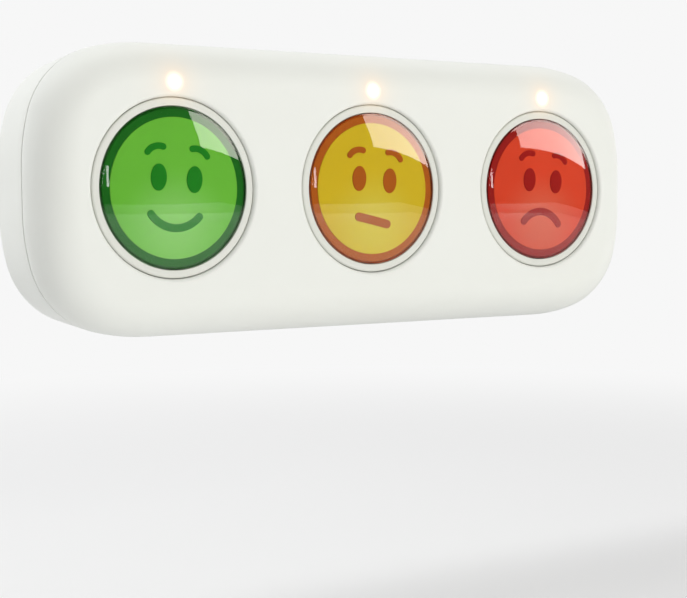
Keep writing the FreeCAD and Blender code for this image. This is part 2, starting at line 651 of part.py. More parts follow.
def plunger(node, x):
    """Moving stack: dome, light disc, dark ring and stem in one piece, and the clip that stops them."""
    inner = "dome_radius - skirt_wall"
    dome = [(inner, "groove_out - rim_thick"), (inner, "skirt_out"), ("dome_radius", "skirt_out")]
    dome += [("dome_radius", "groove_out", "dome"), ("0", "groove_out + dome_rise")]
    dome += [("0", "groove_out + dome_rise - dome_wall", "dome")]
    turned("dome_" + node, "dome_lens_" + node, dome, x)
    disc_back = "disc_out - disc_thick"
    disc = [("0", "disc_out"), ("0", disc_back), ("disc_radius", disc_back), ("disc_radius", "disc_out")]
    turned("disc_" + node, "face_disc_" + node, disc, x)
    rear, front = "clip_out - clip_thick", "clip_out"
    shape = [("0", disc_back), ("0", "stem_out"), ("stem_radius", "stem_out"), ("stem_radius", rear)]
    shape += [("clip_seat", rear), ("clip_seat", front), ("stem_radius", front)]
    shape += [("stem_radius", "head_base_out"), ("head_radius", "head_base_out"), ("head_radius", "ring_out")]
    shape += [("disc_radius", "ring_out"), ("disc_radius", disc_back)]
    turned("stack_" + node, "plunger_" + node, shape, x)
    clip = [("clip_seat", front), ("clip_seat", rear), ("clip_radius", rear), ("clip_radius", front)]
    body = turned("clip_" + node, None, clip, x)
    mouth = new_sketch(body, "clip_mouth_" + node, "XZ_Plane", rear + " - overrun")
    rectangle(mouth, "-clip_mouth", "clip_mouth", "-clip_radius - overrun", "-clip_mouth_top")
    pocket(body, mouth, "clip_thick + 2 * overrun", outwards=True)
    keep(body, "stem_clip_" + node)


def return_spring(node, x):
    """Coil spring between the collar's web and the plunger's head, swept along a true helix."""
    wire = SIZE["wire_radius"]
    low = SIZE["web_out"] + wire + SIZE["coil_gap"]
    rise = SIZE["head_base_out"] - low - wire - SIZE["coil_gap"]
    path = Part.makeHelix(rise / SIZE["coil_turns"], rise, SIZE["coil_radius"])
    section = Part.Wire(Part.makeCircle(wire, Vector(SIZE["coil_radius"], 0, 0), Vector(0, 1, 0)))
    spring = doc.addObject("Part::Feature", "spring_" + node)
    spring.Shape = Part.Wire(path.Edges).makePipeShell([section], True, True)
    place = Vector(amount(x), -low, SIZE["row_rise"])
    spring.Placement = FreeCAD.Placement(place, FreeCAD.Rotation(Vector(1, 0, 0), 90))
    keep(spring, "return_spring_" + node)


# Face marks: strokes with round ends, as points in the face's own frame
def stroke_outline(first, middle, last, width):
    """Closed wire round an arc through three points, with round ends."""
    on_line = [Vector(*point, 0) for point in (first, middle, last)]
    centre = Part.Arc(*on_line).toShape().Curve.Center
    half = width / 2
    rails = []
    for step in (half, -half):
        rails.append(Part.Arc(*[point + (point - centre).normalize() * step for point in on_line]))
    ends = []
    for point, other in ((first, middle), (last, middle)):
        tip = Vector(*point, 0)
        outward = (tip - centre).normalize()
        along = Vector(-outward.y, outward.x, 0)
        if along.dot(tip - Vector(*other, 0)) < 0:
            along = -along
        ends.append(Part.Arc(tip + outward * half, tip + along * half, tip - outward * half))
    edges = [curve.toShape() for curve in rails + ends]
    return Part.Wire(Part.__sortEdges__(edges))


MOUTHS = {
    "happy": ((-10.6, -10.7), (0.0, -15.7), (10.6, -10.7), "smile_stroke"),
    "neutral": ((-7.3, -12.4), (0.05, -13.5), (7.4, -14.75), "flat_stroke"),
    "unhappy": ((-10.2, -15.3), (0.1, -10.3), (10.4, -15.5), "frown_stroke"),
}
BROW = ((13.1, 13.4), (10.1, 15.75), (6.4, 15.9))


def face_marks(node, x):
    """Raised marks on the light disc: two eyes, two brows and a mouth."""
    wires = []
    for side in (-1, 1):
        eye = Part.Ellipse(Vector(0, 0, 0), SIZE["eye_half_height"], SIZE["eye_half_width"]).toShape()
        eye.rotate(Vector(0, 0, 0), Vector(0, 0, 1), 90)
        eye.translate(Vector(side * SIZE["eye_span"], SIZE["eye_rise"], 0))
        wires.append(Part.Wire(eye))
        brow = [(side * point[0], point[1]) for point in BROW]
        wires.append(stroke_outline(brow[0], brow[1], brow[2], SIZE["brow_stroke"]))
    first, middle, last, stroke = MOUTHS[node]
    wires.append(stroke_outline(first, middle, last, SIZE[stroke]))
    solids = [Part.Face(wire).extrude(Vector(0, 0, SIZE["mark_thick"])) for wire in wires]
    marks = doc.addObject("Part::Feature", "marks_" + node)
    shape = Part.makeCompound(solids)
    shape.translate(Vector(SIZE["face_shift"], 0, 0))
    shape.rotate(Vector(0, 0, 0), Vector(0, 0, 1), -SIZE["face_turn"])
    marks.Shape = shape
    place = Vector(amount(x), -SIZE["disc_out"], SIZE["row_rise"])
    marks.Placement = FreeCAD.Placement(place, FreeCAD.Rotation(Vector(1, 0, 0), 90))
    keep(marks, "face_marks_" + node)


def switch(node, x):
    """Lever switch on the board: the stem swings its lever in."""
    pivot = x + " - pivot_side"
    near, root = pivot + " - switch_back", "knob_root_out"
    sides = ("row_rise - switch_half_height", "row_rise + switch_half_height")
    base = box("switch_base_" + node, near, near + " + switch_length", *sides, "board_out", "switch_out")
    knob = rod("switch_knob_" + node, pivot + " + knob_side", "row_rise", "knob_radius", root, "knob_out")
    ears = []
    ends = (("lower", sides[0], "row_rise - ear_inner"), ("upper", "row_rise + ear_inner", sides[1]))
    for name, low, high in ends:
        ears.append(box("switch_ear_%s_%s" % (name, node), pivot + " - ear_half_width",
                        pivot + " + ear_half_width", low, high, root, "pivot_out + ear_half_width"))
    pin = doc.addObject("Part::Cylinder", "switch_pin_" + node)
    bind(pin, Radius="pin_radius", Height="2 * pin_half_length", Placement__Base__x=pivot)
    bind(pin, Placement__Base__y="-pivot_out", Placement__Base__z="row_rise - pin_half_length")
    keep(fuse("switch_" + node, [base, knob, pin] + ears), "switch_body_" + node)
    arm = doc.addObject("Part::Box", "lever_arm_" + node)
    bind(arm, Length="lever_arm", Width="lever_thick", Height="2 * lever_half_height")
    bind(arm, Placement__Base__y="-0.5 * lever_thick", Placement__Base__z="-lever_half_height")
    parts = [arm]
    for name, radius, along in (("knuckle", "knuckle_radius", "0"), ("tip", "tip_radius", "lever_arm")):
        roller = doc.addObject("Part::Cylinder", "lever_%s_%s" % (name, node))
        bind(roller, Radius=radius, Height="2 * lever_half_height")
        bind(roller, Placement__Base__x=along, Placement__Base__z="-lever_half_height")
        parts.append(roller)
    bore = doc.addObject("Part::Cylinder", "lever_bore_" + node)
    bind(bore, Radius="pin_radius + lever_gap", Height="2 * lever_half_height + 2 * overrun")
    bind(bore, Placement__Base__z="-lever_half_height - overrun")
    lever = cut("lever_" + node, fuse("lever_blank_" + node, parts), bore)
    bind(lever, Placement__Base__x=pivot, Placement__Base__y="-pivot_out", Placement__Base__z="row_rise")
    lever.Placement.Rotation = FreeCAD.Rotation(Vector(0, 0, 1), -SIZE["lever_rise"])
    keep(lever, "switch_lever_" + node)


def light_pipe(node, x):
    """Clear rod that brings the indicator's light up behind the thinned skin."""
    stem = rod("pipe_rod_" + node, x, "light_rise", "pipe_radius", "pipe_base_out", "pipe_out")
    foot = rod("pipe_foot_" + node, x, "light_rise", "pipe_radius + foot_flange", "pipe_base_out",
               "pipe_base_out + foot_height")
    keep(fuse("pipe_" + node, [stem, foot]), "light_pipe_" + node)


# Electronics: blocks on the rear of the board, as x from and to, z from and to, and thickness
REAR_BLOCKS = {
    "board_chips": [(-29, -19, -1, 9, 1.2), (-1, 5, 9.5, 14.5, 1.0), (-0.5, 4.5, -7, -1, 1.6),
                    (18, 26, 0, 4, 2.0), (-27, -21, -18, -14, 1.4)],
    "radio_module": [(-100, -76, -8, 10, 2.6)],
    "radio_antenna": [(-118, -108, 12, 15, 1.5)],
}


def board():
    """Circuit board on the front shell's stands, with notches for the case bosses."""
    body = new_body("board")
    back = "board_out - board_thick"
    panel = new_sketch(body, "board_outline", "XZ_Plane", back)
    rectangle(panel, "-board_half_width", "board_half_width", "-board_half_height", "board_half_height")
    pad(body, panel, "board_thick")
    round_edges(body, body.Tip, "board_corner", lambda b: b.XLength < 0.01 and b.ZLength < 0.01)
    between = [place for place in CASE_SCREWS if "case" in place[0]]
    holes = (("board_notches", between, "boss_radius + board_gap"),
             ("board_holes", BOARD_SCREWS, "screw_radius + board_hole_gap"))
    for name, places, radius in holes:
        sketch = circles(body, name, back + " - overrun", places, radius)
        pocket(body, sketch, "board_thick + 2 * overrun", outwards=True)
    keep(body, "circuit_board")
    low, high = "light_rise - lamp_half_height", "light_rise + lamp_half_height"
    lamps = []
    for node, x in BUTTONS:
        near, far = x + " - lamp_half_width", x + " + lamp_half_width"
        lamps.append(box("lamp_" + node, near, far, low, high, "board_out", "lamp_out"))
    keep(group("lamps", lamps), "status_leds")
    for node, rows in REAR_BLOCKS.items():
        blocks = []
        for number, (x_low, x_high, z_low, z_high, thick) in enumerate(rows):
            corners = [str(number_of_mm) for number_of_mm in (x_low, x_high, z_low, z_high)]
            blocks.append(box("%s_%d" % (node, number), *corners, "%s - %s" % (back, thick), back))
        keep(group(node + "_group", blocks) if len(blocks) > 1 else blocks[0], node)


def power():
    """Three cells in the rear shell's bay, their contacts and the door over them."""
    start = "0.5 * bay_low + 0.5 * bay_high - 0.5 * cell_length + nub_length"
    near_end = ("bay_low + contact_gap", "bay_low + contact_gap + contact_thick")
    far_end = ("bay_high - contact_gap - contact_thick", "bay_high - contact_gap")
    contacts = []
    for number in range(3):
        rise = "%d * cell_pitch" % (number - 1)
        can = doc.addObject("Part::Cylinder", "cell_can_%d" % number)
        nub = doc.addObject("Part::Cylinder", "cell_nub_%d" % number)
        nub_start = start + " + cell_length - nub_length"
        tubes = ((can, "cell_radius", "cell_length - nub_length + nub_root", start),
                 (nub, "nub_radius", "nub_length", nub_start))
        for tube, radius, length, place in tubes:
            tube.Placement = FreeCAD.Placement(Vector(0, 0, 0), FreeCAD.Rotation(Vector(0, 1, 0), 90))
            bind(tube, Radius=radius, Height=length, Placement__Base__x=place)
            bind(tube, Placement__Base__y="-cell_out", Placement__Base__z=rise)
        keep(fuse("cell_%d" % number, [can, nub]), "battery_cell_%d" % (number + 1))
        low, high = rise + " - contact_half_height", rise + " + contact_half_height"
        for name, ends in (("near", near_end), ("far", far_end)):
            depths = ("contact_low_out", "contact_high_out")
            contacts.append(box("contact_%s_%d" % (name, number), *ends, low, high, *depths))
    keep(group("contacts", contacts), "battery_contacts")
    body = new_body("door")
    panel = new_sketch(body, "door_panel", "XZ_Plane", "rear_out")
    margin = "door_margin - door_slack"
    tall = "bay_half_height + " + margin
    rectangle(panel, "bay_low - (%s)" % margin, "bay_high + " + margin, "-(%s)" % tall, tall)
    pad(body, panel, "door_thick")
    round_edges(body, body.Tip, "door_corner", lambda b: b.XLength < 0.01 and b.ZLength < 0.01)
    grip = new_sketch(body, "door_grip", "XZ_Plane", "rear_out - overrun")
    rectangle(grip, "bay_low", "bay_low + grip_length", "-grip_half_height", "grip_half_height")
    pocket(body, grip, "grip_depth + overrun", outwards=True)
    keep(body, "battery_door")


# Fixings
def screws(name, node, places, head_low, head_high, tip_out):
    """Pan-head screws driven from the rear, with a slot in the head."""
    solids = []
    for number, (x, z) in enumerate(places):
        head = rod("%s_head_%d" % (name, number), x, z, "screw_head", head_low, head_high)
        shank = rod("%s_shank_%d" % (name, number), x, z, "screw_radius", head_low, tip_out)
        near, far = x + " - recess_half_length", x + " + recess_half_length"
        low, high = z + " - recess_half_width", z + " + recess_half_width"
        depths = (head_low + " - overrun", head_low + " + recess_depth")
        recess = box("%s_recess_%d" % (name, number), near, far, low, high, *depths)
        blank = fuse("%s_blank_%d" % (name, number), [head, shank])
        solids.append(cut("%s_%d" % (name, number), blank, recess))
    keep(group(name, solids), node)


def wall_plate():
    """Plate screwed to the wall, with two upturned hooks that carry the case."""
    body = new_body("plate")
    outline = new_sketch(body, "plate_outline", "XZ_Plane")
    rectangle(outline, "-plate_half_width", "plate_half_width", "-plate_half_height", "plate_half_height")
    pad(body, outline, "plate_thick")
    round_edges(body, body.Tip, "plate_corner", lambda b: b.XLength < 0.01 and b.ZLength < 0.01)
    corners = four("fixing_span", "fixing_rise")
    fixings = circles(body, "plate_fixings", "-overrun", corners, "fixing_radius")
    pocket(body, fixings, "plate_thick + 2 * overrun", outwards=True)
    lip_out = "well_floor_out + well_floor_thick + lip_gap"
    for side in ("-", ""):
        name = "left" if side else "right"
        near, far = side + "hook_span - hook_half_width", side + "hook_span + hook_half_width"
        neck_out = "plate_thick - lip_root"
        neck = new_sketch(body, "hook_neck_" + name, "XZ_Plane", neck_out)
        rectangle(neck, near, far, "-hook_low", "hook_high")
        pad(body, neck, "%s + lip_thick - (%s)" % (lip_out, neck_out))
        lip = new_sketch(body, "hook_lip_" + name, "XZ_Plane", lip_out)
        rectangle(lip, near, far, "-hook_low", "lip_high")
        pad(body, lip, "lip_thick")
    keep(body, "wall_plate")


front_shell()
rear_shell()
seam_seal()
for node, x in BUTTONS:
    collar(node, x)
    plunger(node, x)
    return_spring(node, x)
    face_marks(node, x)
    switch(node, x)
    light_pipe(node, x)
board()
power()
board_back = "board_out - board_thick"
screws("case_screw", "case_screws", CASE_SCREWS, "head_seat - head_height", "head_seat", "case_screw_tip")
head_rear = board_back + " - board_head_height"
screws("board_screw", "board_screws", BOARD_SCREWS, head_rear, board_back, "board_screw_tip")
wall_plate()
doc.recompute()

# Every object must be sound before anything is written
for thing in doc.Objects:
    if "Invalid" in thing.State or "Error" in thing.State:
        raise RuntimeError("%s failed: %s" % (thing.Name, thing.State))
for piece in PARTS:
    if piece.Shape.isNull() or not piece.Shape.isValid():
        raise RuntimeError("%s has no sound shape" % piece.Label)

os.makedirs("parts", exist_ok=True)
for piece in PARTS:
    piece.Shape.exportStep("parts/%s.step" % piece.Label)
    extent = piece.Shape.BoundBox
    print("%-24s %9.1f mm3, %d solids" % (piece.Label, piece.Shape.Volume, len(piece.Shape.Solids)), end="")
    print("  %6.1f x %6.1f x %6.1f mm" % (extent.XLength, extent.YLength, extent.ZLength))
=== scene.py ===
# %% [markdown]
# # A customer feedback terminal with three domed push buttons
#
# The terminal is a long white moulded case that hangs on a wall. Its front holds three round push
# buttons under coloured clear domes, and a small lamp glows through the white plastic above each one.
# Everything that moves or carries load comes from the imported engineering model, the frame. This script
# gives each visible piece its finish, and rebuilds the pieces whose smooth curves the eye follows.
# Loading the frame first means that every new piece can be placed where the real one is.

# %% Load the frame
import json
import math

import bmesh
import bpy
from mathutils import Euler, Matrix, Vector
from mathutils.geometry import delaunay_2d_cdt


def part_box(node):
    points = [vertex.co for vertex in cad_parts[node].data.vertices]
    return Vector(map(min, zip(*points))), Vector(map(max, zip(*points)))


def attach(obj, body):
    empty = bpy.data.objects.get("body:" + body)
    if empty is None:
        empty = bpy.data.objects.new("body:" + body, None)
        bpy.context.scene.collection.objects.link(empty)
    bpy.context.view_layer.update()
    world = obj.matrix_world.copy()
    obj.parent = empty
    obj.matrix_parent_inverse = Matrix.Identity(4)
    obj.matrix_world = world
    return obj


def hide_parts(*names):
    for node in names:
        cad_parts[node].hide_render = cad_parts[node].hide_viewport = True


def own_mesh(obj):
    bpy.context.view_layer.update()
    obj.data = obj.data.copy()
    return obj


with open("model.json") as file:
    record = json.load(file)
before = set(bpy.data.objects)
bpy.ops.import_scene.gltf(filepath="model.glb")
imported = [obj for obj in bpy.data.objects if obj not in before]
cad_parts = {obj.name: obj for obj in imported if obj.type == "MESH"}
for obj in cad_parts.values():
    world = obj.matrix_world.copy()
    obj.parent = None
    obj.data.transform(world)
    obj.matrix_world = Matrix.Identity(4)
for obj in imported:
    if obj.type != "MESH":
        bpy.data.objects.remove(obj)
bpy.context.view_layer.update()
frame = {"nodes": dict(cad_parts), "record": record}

MM = 0.001

# %% [markdown]
# ## Sizes
#
# The engineering model is in metres, and people think of a moulding in millimetres, so the sizes here
# are millimetres and one factor turns them into metres. "Out" is the distance from the wall towards the
# front, which is the -Y direction. Sizes that the frame can tell are read from its boxes.

# %% Sizes of the case and of a button
SIDES = {"happy": -1, "neutral": 0, "unhappy": 1}
TINTS = {"happy": "green", "neutral": "amber", "unhappy": "red"}
front_low, front_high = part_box("front_shell")
plunger_low, plunger_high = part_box("plunger_unhappy")
HALF_WIDTH = front_high[0] / MM
HALF_HEIGHT = front_high[2] / MM
FACE_OUT = -front_low[1] / MM
PITCH = (plunger_low[0] + plunger_high[0]) / 2 / MM
ROW_RISE = (plunger_low[2] + plunger_high[2]) / 2 / MM
LONG_RADIUS, TIGHT_RADIUS, LONG_TURN = 84.7, 36.6, math.radians(15)
EDGE_RADIUS, WALL = 16.9, 2.8
SEAM_OUT, SEAM_HALF = 32.5, 0.38
GROOVE_OUT = 49.0
LIGHT_RISE, LIGHT_SKIN = 42.6, 0.4
DISC_OUT = 48.6
print("case %.1f x %.1f mm, buttons %.1f mm apart" % (2 * HALF_WIDTH, 2 * HALF_HEIGHT, PITCH))

# %% [markdown]
# ## Colours and nodes
#
# Designers give colours as sRGB hex values, but the renderer works with linear light, so one function
# turns the first into the second. A second small function adds a node, sets it up and links it, which
# keeps every material short enough to read.


# %% Helpers for colours and materials
def hex_colour(text):
    """sRGB hex such as 'e6e6e1' as linear red, green, blue and alpha."""
    values = [int(text[place:place + 2], 16) / 255 for place in (0, 2, 4)]
    return tuple(v / 12.92 if v <= 0.04045 else ((v + 0.055) / 1.055) ** 2.4 for v in values) + (1.0,)


def add_node(material, kind, settings=None, links=None):
    """Node with its sockets set and fed. A socket is named, or given by its number."""
    node = material.node_tree.nodes.new(kind)
    for key, value in (settings or {}).items():
        if isinstance(key, str) and hasattr(node, key):
            setattr(node, key, value)
        else:
            node.inputs[key].default_value = value
    for key, source in (links or {}).items():
        material.node_tree.links.new(source, node.inputs[key])
    return node


def new_material(name, **sockets):
    """Material with one Principled shader, and that shader."""
    material = bpy.data.materials.new(name)
    material.use_nodes = True
    shader = material.node_tree.nodes["Principled BSDF"]
    for key, value in sockets.items():
        shader.inputs[key.replace("_", " ")].default_value = value
    return material, shader


def connect(material, source, shader, socket):
    """Link one socket to another."""
    material.node_tree.links.new(source, shader.inputs[socket])


def surface_grain(material, shader, grain_mm, depth_mm):
    """Fine unevenness left by the mould, as bump. Grain and depth are real sizes."""
    place = add_node(material, "ShaderNodeTexCoord")
    noise = add_node(material, "ShaderNodeTexNoise", {"Scale": 1 / (grain_mm * MM), "Detail": 2.0},
                     {"Vector": place.outputs["Object"]})
    bump = add_node(material, "ShaderNodeBump", {"Strength": 1.0, "Distance": depth_mm * MM},
                    {"Height": noise.outputs["Fac"]})
    connect(material, bump.outputs["Normal"], shader, "Normal")
    return noise


# %% [markdown]
# ## White ABS with three lamps behind it
#
# The case is moulded ABS: opaque, slightly warm white, with a satin skin that gives broad soft
# highlights. Above each button the skin is thinned to under a millimetre, and a light pipe behind it
# makes a white spot with a warm halo. The light spreads inside the plastic, so the glow is a smooth
# fall-off around a point and not a sharp disc. It is drawn as emission that depends on the distance
# to the end of the pipe, and the halo's light is also painted into the plastic's base colour as a warm
# tint. The grain of the mould is finer than the render shows, so it is drawn a millimetre wide.

# %% Case plastic
SKIN_GRAIN, SKIN_DEPTH, CLOUD_SIZE = 1.1, 0.004, 45
SMOOTHER, ROUGHER = 0.03, 0.04
CORE_FULL, CORE_END, HALO_REACH, HALO_SHARE = 0.4, 4.9, 4.6, 0.25


def white_abs(name, colours, roughness, with_lamps):
    """Satin moulded ABS, with the indicator glow where it is wanted."""
    material, shader = new_material(name, Roughness=roughness, IOR=1.53)
    noise = surface_grain(material, shader, SKIN_GRAIN, SKIN_DEPTH)
    point = add_node(material, "ShaderNodeTexCoord")
    cloud = add_node(material, "ShaderNodeTexNoise", {"Scale": 1 / (CLOUD_SIZE * MM), "Detail": 3.0},
                     {"Vector": point.outputs["Object"]})
    shades = {"data_type": "RGBA", 6: hex_colour(colours[0]), 7: hex_colour(colours[1])}
    tint = add_node(material, "ShaderNodeMix", shades, {0: cloud.outputs["Fac"]})
    connect(material, tint.outputs[2], shader, "Base Color")
    rough_range = {"To Min": roughness - SMOOTHER, "To Max": roughness + ROUGHER}
    rough = add_node(material, "ShaderNodeMapRange", rough_range, {"Value": noise.outputs["Fac"]})
    connect(material, rough.outputs["Result"], shader, "Roughness")
    if with_lamps:
        add_glow(material, shader, point, tint)
    return material


def add_glow(material, shader, point, tint):
    """Bright core and warm halo round the end of each light pipe, the halo also painted into the base colour.
    """
    glow, warm = None, tint.outputs[2]
    core_range = {"interpolation_type": "SMOOTHSTEP", "From Min": CORE_FULL * MM, "From Max": CORE_END * MM,
                  "To Min": 1.0, "To Max": 0.0}
    for place in SIDES.values():
        lamp = (place * PITCH * MM, -(FACE_OUT - LIGHT_SKIN) * MM, LIGHT_RISE * MM)
        gap = add_node(material, "ShaderNodeVectorMath", {"operation": "DISTANCE", 1: lamp},
                       {0: point.outputs["Object"]})
        core = add_node(material, "ShaderNodeMapRange", core_range, {"Value": gap.outputs["Value"]})
        fall = add_node(material, "ShaderNodeMath", {"operation": "MULTIPLY", 1: -1 / (HALO_REACH * MM)},
                        {0: gap.outputs["Value"]})
        halo = add_node(material, "ShaderNodeMath", {"operation": "EXPONENT"}, {0: fall.outputs[0]})
        both = add_node(material, "ShaderNodeMath", {"operation": "MULTIPLY_ADD", 1: HALO_SHARE},
                        {0: halo.outputs[0], 2: core.outputs["Result"]})
        # Painted light: the halo's warm glow is mixed into the plastic's base colour.
        painted_glow_tint = add_node(material, "ShaderNodeMix", {"data_type": "RGBA", 7: hex_colour("f4d8ba")},
                          {0: halo.outputs[0], 6: warm})
        warm = painted_glow_tint.outputs[2]
        total = both.outputs[0]
        if glow is not None:
            joined = add_node(material, "ShaderNodeMath", {"operation": "ADD"}, {0: glow, 1: total})
            total = joined.outputs[0]
        glow = total
    connect(material, warm, shader, "Base Color")
    connect(material, glow, shader, "Emission Strength")
    shader.inputs["Emission Color"].default_value = hex_colour("ffecd2")


CASE_WHITE = white_abs("satin_white_abs", ("e9ebe6", "e6e7e1"), 0.38, True)
PLAIN_WHITE = white_abs("satin_white_abs_plain", ("e9ebe6", "e6e7e1"), 0.38, False)
COLLAR_WHITE = white_abs("glossy_white_collar", ("dcddd6", "d8d9d1"), 0.22, True)
print("white plastics:", CASE_WHITE.name, PLAIN_WHITE.name, COLLAR_WHITE.name)

# %% [markdown]
# ## Clear coloured acrylic
#
# The domes are cast acrylic (IOR 1.49), polished to a mirror. Acrylic is clear, so the look comes from
# what lies behind it and from what it reflects. Only at the rim, where the eye looks along the wall, does
# its tint gather, and this darker rim is painted shade in the base colour. Lamps have to reach the printed
# face through the dome, and a renderer finds such paths slowly, so for shadow rays the dome lets light
# straight through.

# %% Domes and light pipes
RIM_SHADE_FROM, RIM_SHADE_TO = 31.3, 31.9


def clear_acrylic(name, colour, rim=None, place=0):
    """Polished acrylic that lets lamps through. A dome's darker rim is painted shade in its base colour."""
    material, shader = new_material(name, Base_Color=hex_colour(colour), Roughness=0.012, IOR=1.49,
                                    Transmission_Weight=1.0)
    if rim:
        point = add_node(material, "ShaderNodeTexCoord")
        flat = add_node(material, "ShaderNodeVectorMath", {"operation": "MULTIPLY", 1: (1, 0, 1)},
                        {0: point.outputs["Object"]})
        axis = (place * PITCH * MM, 0, ROW_RISE * MM)
        reach = add_node(material, "ShaderNodeVectorMath", {"operation": "DISTANCE", 1: axis},
                         {0: flat.outputs[0]})
        # Painted shade: the base colour darkens towards the dome's rim.
        rim_range = {"From Min": RIM_SHADE_FROM * MM, "From Max": RIM_SHADE_TO * MM}
        edge = add_node(material, "ShaderNodeMapRange", rim_range, {"Value": reach.outputs["Value"]})
        shades = {"data_type": "RGBA", 6: hex_colour(colour), 7: hex_colour(rim)}
        tint = add_node(material, "ShaderNodeMix", shades, {0: edge.outputs["Result"]})
        connect(material, tint.outputs[2], shader, "Base Color")
    path = add_node(material, "ShaderNodeLightPath")
    clear = add_node(material, "ShaderNodeBsdfTransparent", {"Color": hex_colour(colour)})
    mix = add_node(material, "ShaderNodeMixShader", {},
                   {0: path.outputs["Is Shadow Ray"], 1: shader.outputs[0], 2: clear.outputs[0]})
    output = material.node_tree.nodes["Material Output"]
    connect(material, mix.outputs[0], output, "Surface")
    return material


LENS = {
    "happy": clear_acrylic("green_acrylic", "f4fcf2", "98d290", SIDES["happy"]),
    "neutral": clear_acrylic("amber_acrylic", "fefaf0", "e8b888", SIDES["neutral"]),
    "unhappy": clear_acrylic("red_acrylic", "fef4f0", "dc9488", SIDES["unhappy"]),
}
print("domes:", ", ".join(material.name for material in LENS.values()))

# %% [markdown]
# ## Printed faces
#
# Behind each dome lies a printed film: a light disc with darker marks, and round it the dark moulded
# head of the plunger. Print is matt, with a faint mottle where the ink film varies. A pool of painted
# light makes the film paler below its middle, where the dome gathers the light.

# %% Inks and mouldings behind the domes
MOTTLE_SIZE = 22
LIGHT_POOL_DROP, LIGHT_POOL_FULL, LIGHT_POOL_END = 16, 2, 27


def printed_ink(name, colour, lighter, painted_light_colour=None, place=0):
    """Matt ink with a slow, faint mottle. A disc gets painted light, paler where the light gathers below its
    middle.
    """
    material, shader = new_material(name, Roughness=0.7, Specular_IOR_Level=0.1)
    point = add_node(material, "ShaderNodeTexCoord")
    cloud = add_node(material, "ShaderNodeTexNoise", {"Scale": 1 / (MOTTLE_SIZE * MM), "Detail": 2.0},
                     {"Vector": point.outputs["Object"]})
    shades = {"data_type": "RGBA", 6: hex_colour(colour), 7: hex_colour(lighter)}
    tint = add_node(material, "ShaderNodeMix", shades, {0: cloud.outputs["Fac"]})
    connect(material, tint.outputs[2], shader, "Base Color")
    if painted_light_colour:
        # Painted light: the disc's colour is mixed towards a paler one round a point below its middle.
        centre = (place * PITCH * MM, -DISC_OUT * MM, (ROW_RISE - LIGHT_POOL_DROP) * MM)
        reach = add_node(material, "ShaderNodeVectorMath", {"operation": "DISTANCE", 1: centre},
                         {0: point.outputs["Object"]})
        light_pool_range = {"interpolation_type": "SMOOTHSTEP", "From Min": LIGHT_POOL_FULL * MM,
                      "From Max": LIGHT_POOL_END * MM, "To Min": 1.0, "To Max": 0.0}
        light_pool_mask = add_node(material, "ShaderNodeMapRange", light_pool_range, {"Value": reach.outputs["Value"]})
        painted_light_mix = add_node(material, "ShaderNodeMix", {"data_type": "RGBA", 7: hex_colour(painted_light_colour)},
                       {0: light_pool_mask.outputs["Result"], 6: tint.outputs[2]})
        connect(material, painted_light_mix.outputs[2], shader, "Base Color")
    return material


# The third colour of each disc is its painted light, not a second ink.
DISC = {
    "happy": printed_ink("light_green_ink", "7fcc48", "86d24e", "a2e07c", SIDES["happy"]),
    "neutral": printed_ink("yellow_ink", "dcc42a", "e0cc32", "e2da58", SIDES["neutral"]),
    "unhappy": printed_ink("light_red_ink", "e04e30", "e45636", "df7258", SIDES["unhappy"]),
}
MARKS = {
    "happy": printed_ink("dark_green_ink", "238a23", "289028"),
    "neutral": printed_ink("brown_ink", "b4601e", "ba6622"),
    "unhappy": printed_ink("dark_red_ink", "a01c18", "a8211c"),
}
RING = {
    "happy": printed_ink("dark_green_moulding", "1f701f", "237623"),
    "neutral": printed_ink("orange_moulding", "b8621e", "c06a24"),
    "unhappy": printed_ink("dark_red_moulding", "9c1f1c", "a42622"),
}
print(len(DISC) + len(MARKS) + len(RING), "inks and mouldings")

# %% [markdown]
# ## Metals, rubber and the electronics
#
# Most of these pieces are hidden, but the back shows the bracket, screws and pads. Each one gets the
# finish that its real material has.


# %% Other finishes
def plain_finish(name, colour, roughness, metallic=0.0, grain_mm=0.8, depth_mm=0.003):
    """Even finish with a fine surface grain."""
    material, shader = new_material(name, Base_Color=hex_colour(colour), Roughness=roughness,
                                    Metallic=metallic)
    surface_grain(material, shader, grain_mm, depth_mm)
    return material


FINISH = {
    "case_white": PLAIN_WHITE,
    "collar_white": COLLAR_WHITE,
    "inner_plastic": plain_finish("black_nylon", "2c2c2e", 0.5),
    "clear_acrylic": clear_acrylic("clear_acrylic", "f4f8f8"),
    "grey_rubber": plain_finish("grey_rubber", "2c2c2b", 0.8, grain_mm=0.5, depth_mm=0.02),
    "spring_steel": plain_finish("spring_steel", "b8b8b6", 0.25, 1.0),
    "zinc_steel": plain_finish("zinc_plate", "c4c4be", 0.3, 1.0),
    "coated_steel": plain_finish("grey_powder_coat", "8a8c8e", 0.55, grain_mm=0.6, depth_mm=0.03),
    "board_green": plain_finish("green_solder_resist", "1d6b3a", 0.35),
    "led_lamp": plain_finish("lamp_body", "f4efe2", 0.3),
    "chip_black": plain_finish("black_epoxy", "26262a", 0.5),
    "shield_metal": plain_finish("tinned_shield", "c8c8c6", 0.32, 1.0),
    "antenna_ceramic": plain_finish("white_ceramic", "e6e4dc", 0.4),
    "cell_jacket": plain_finish("dark_jacket", "2b3038", 0.35),
}
for side, tint in TINTS.items():
    FINISH["lens_" + tint] = LENS[side]
    FINISH["disc_" + tint] = DISC[side]
    FINISH["marks_" + tint] = MARKS[side]
    FINISH["ring_" + tint] = RING[side]
for entry in frame["record"]["subparts"]:
    item = frame["nodes"][entry["node"]]
    item.data.materials.clear()
    item.data.materials.append(FINISH[entry["material_slot"]])
print(len(frame["nodes"]), "frame nodes finished")

# %% [markdown]
# ## Building smooth pieces
#
# The eye catches any unevenness in a glossy moulding, so the visible shells are built here as meshes
# with rows of points that follow the shape. Two kinds of surface are enough. A band joins closed loops
# of equal length, and a plate fills a flat loop and leaves its holes open. Welding the seams between
# them gives one closed solid, as the real moulding is.


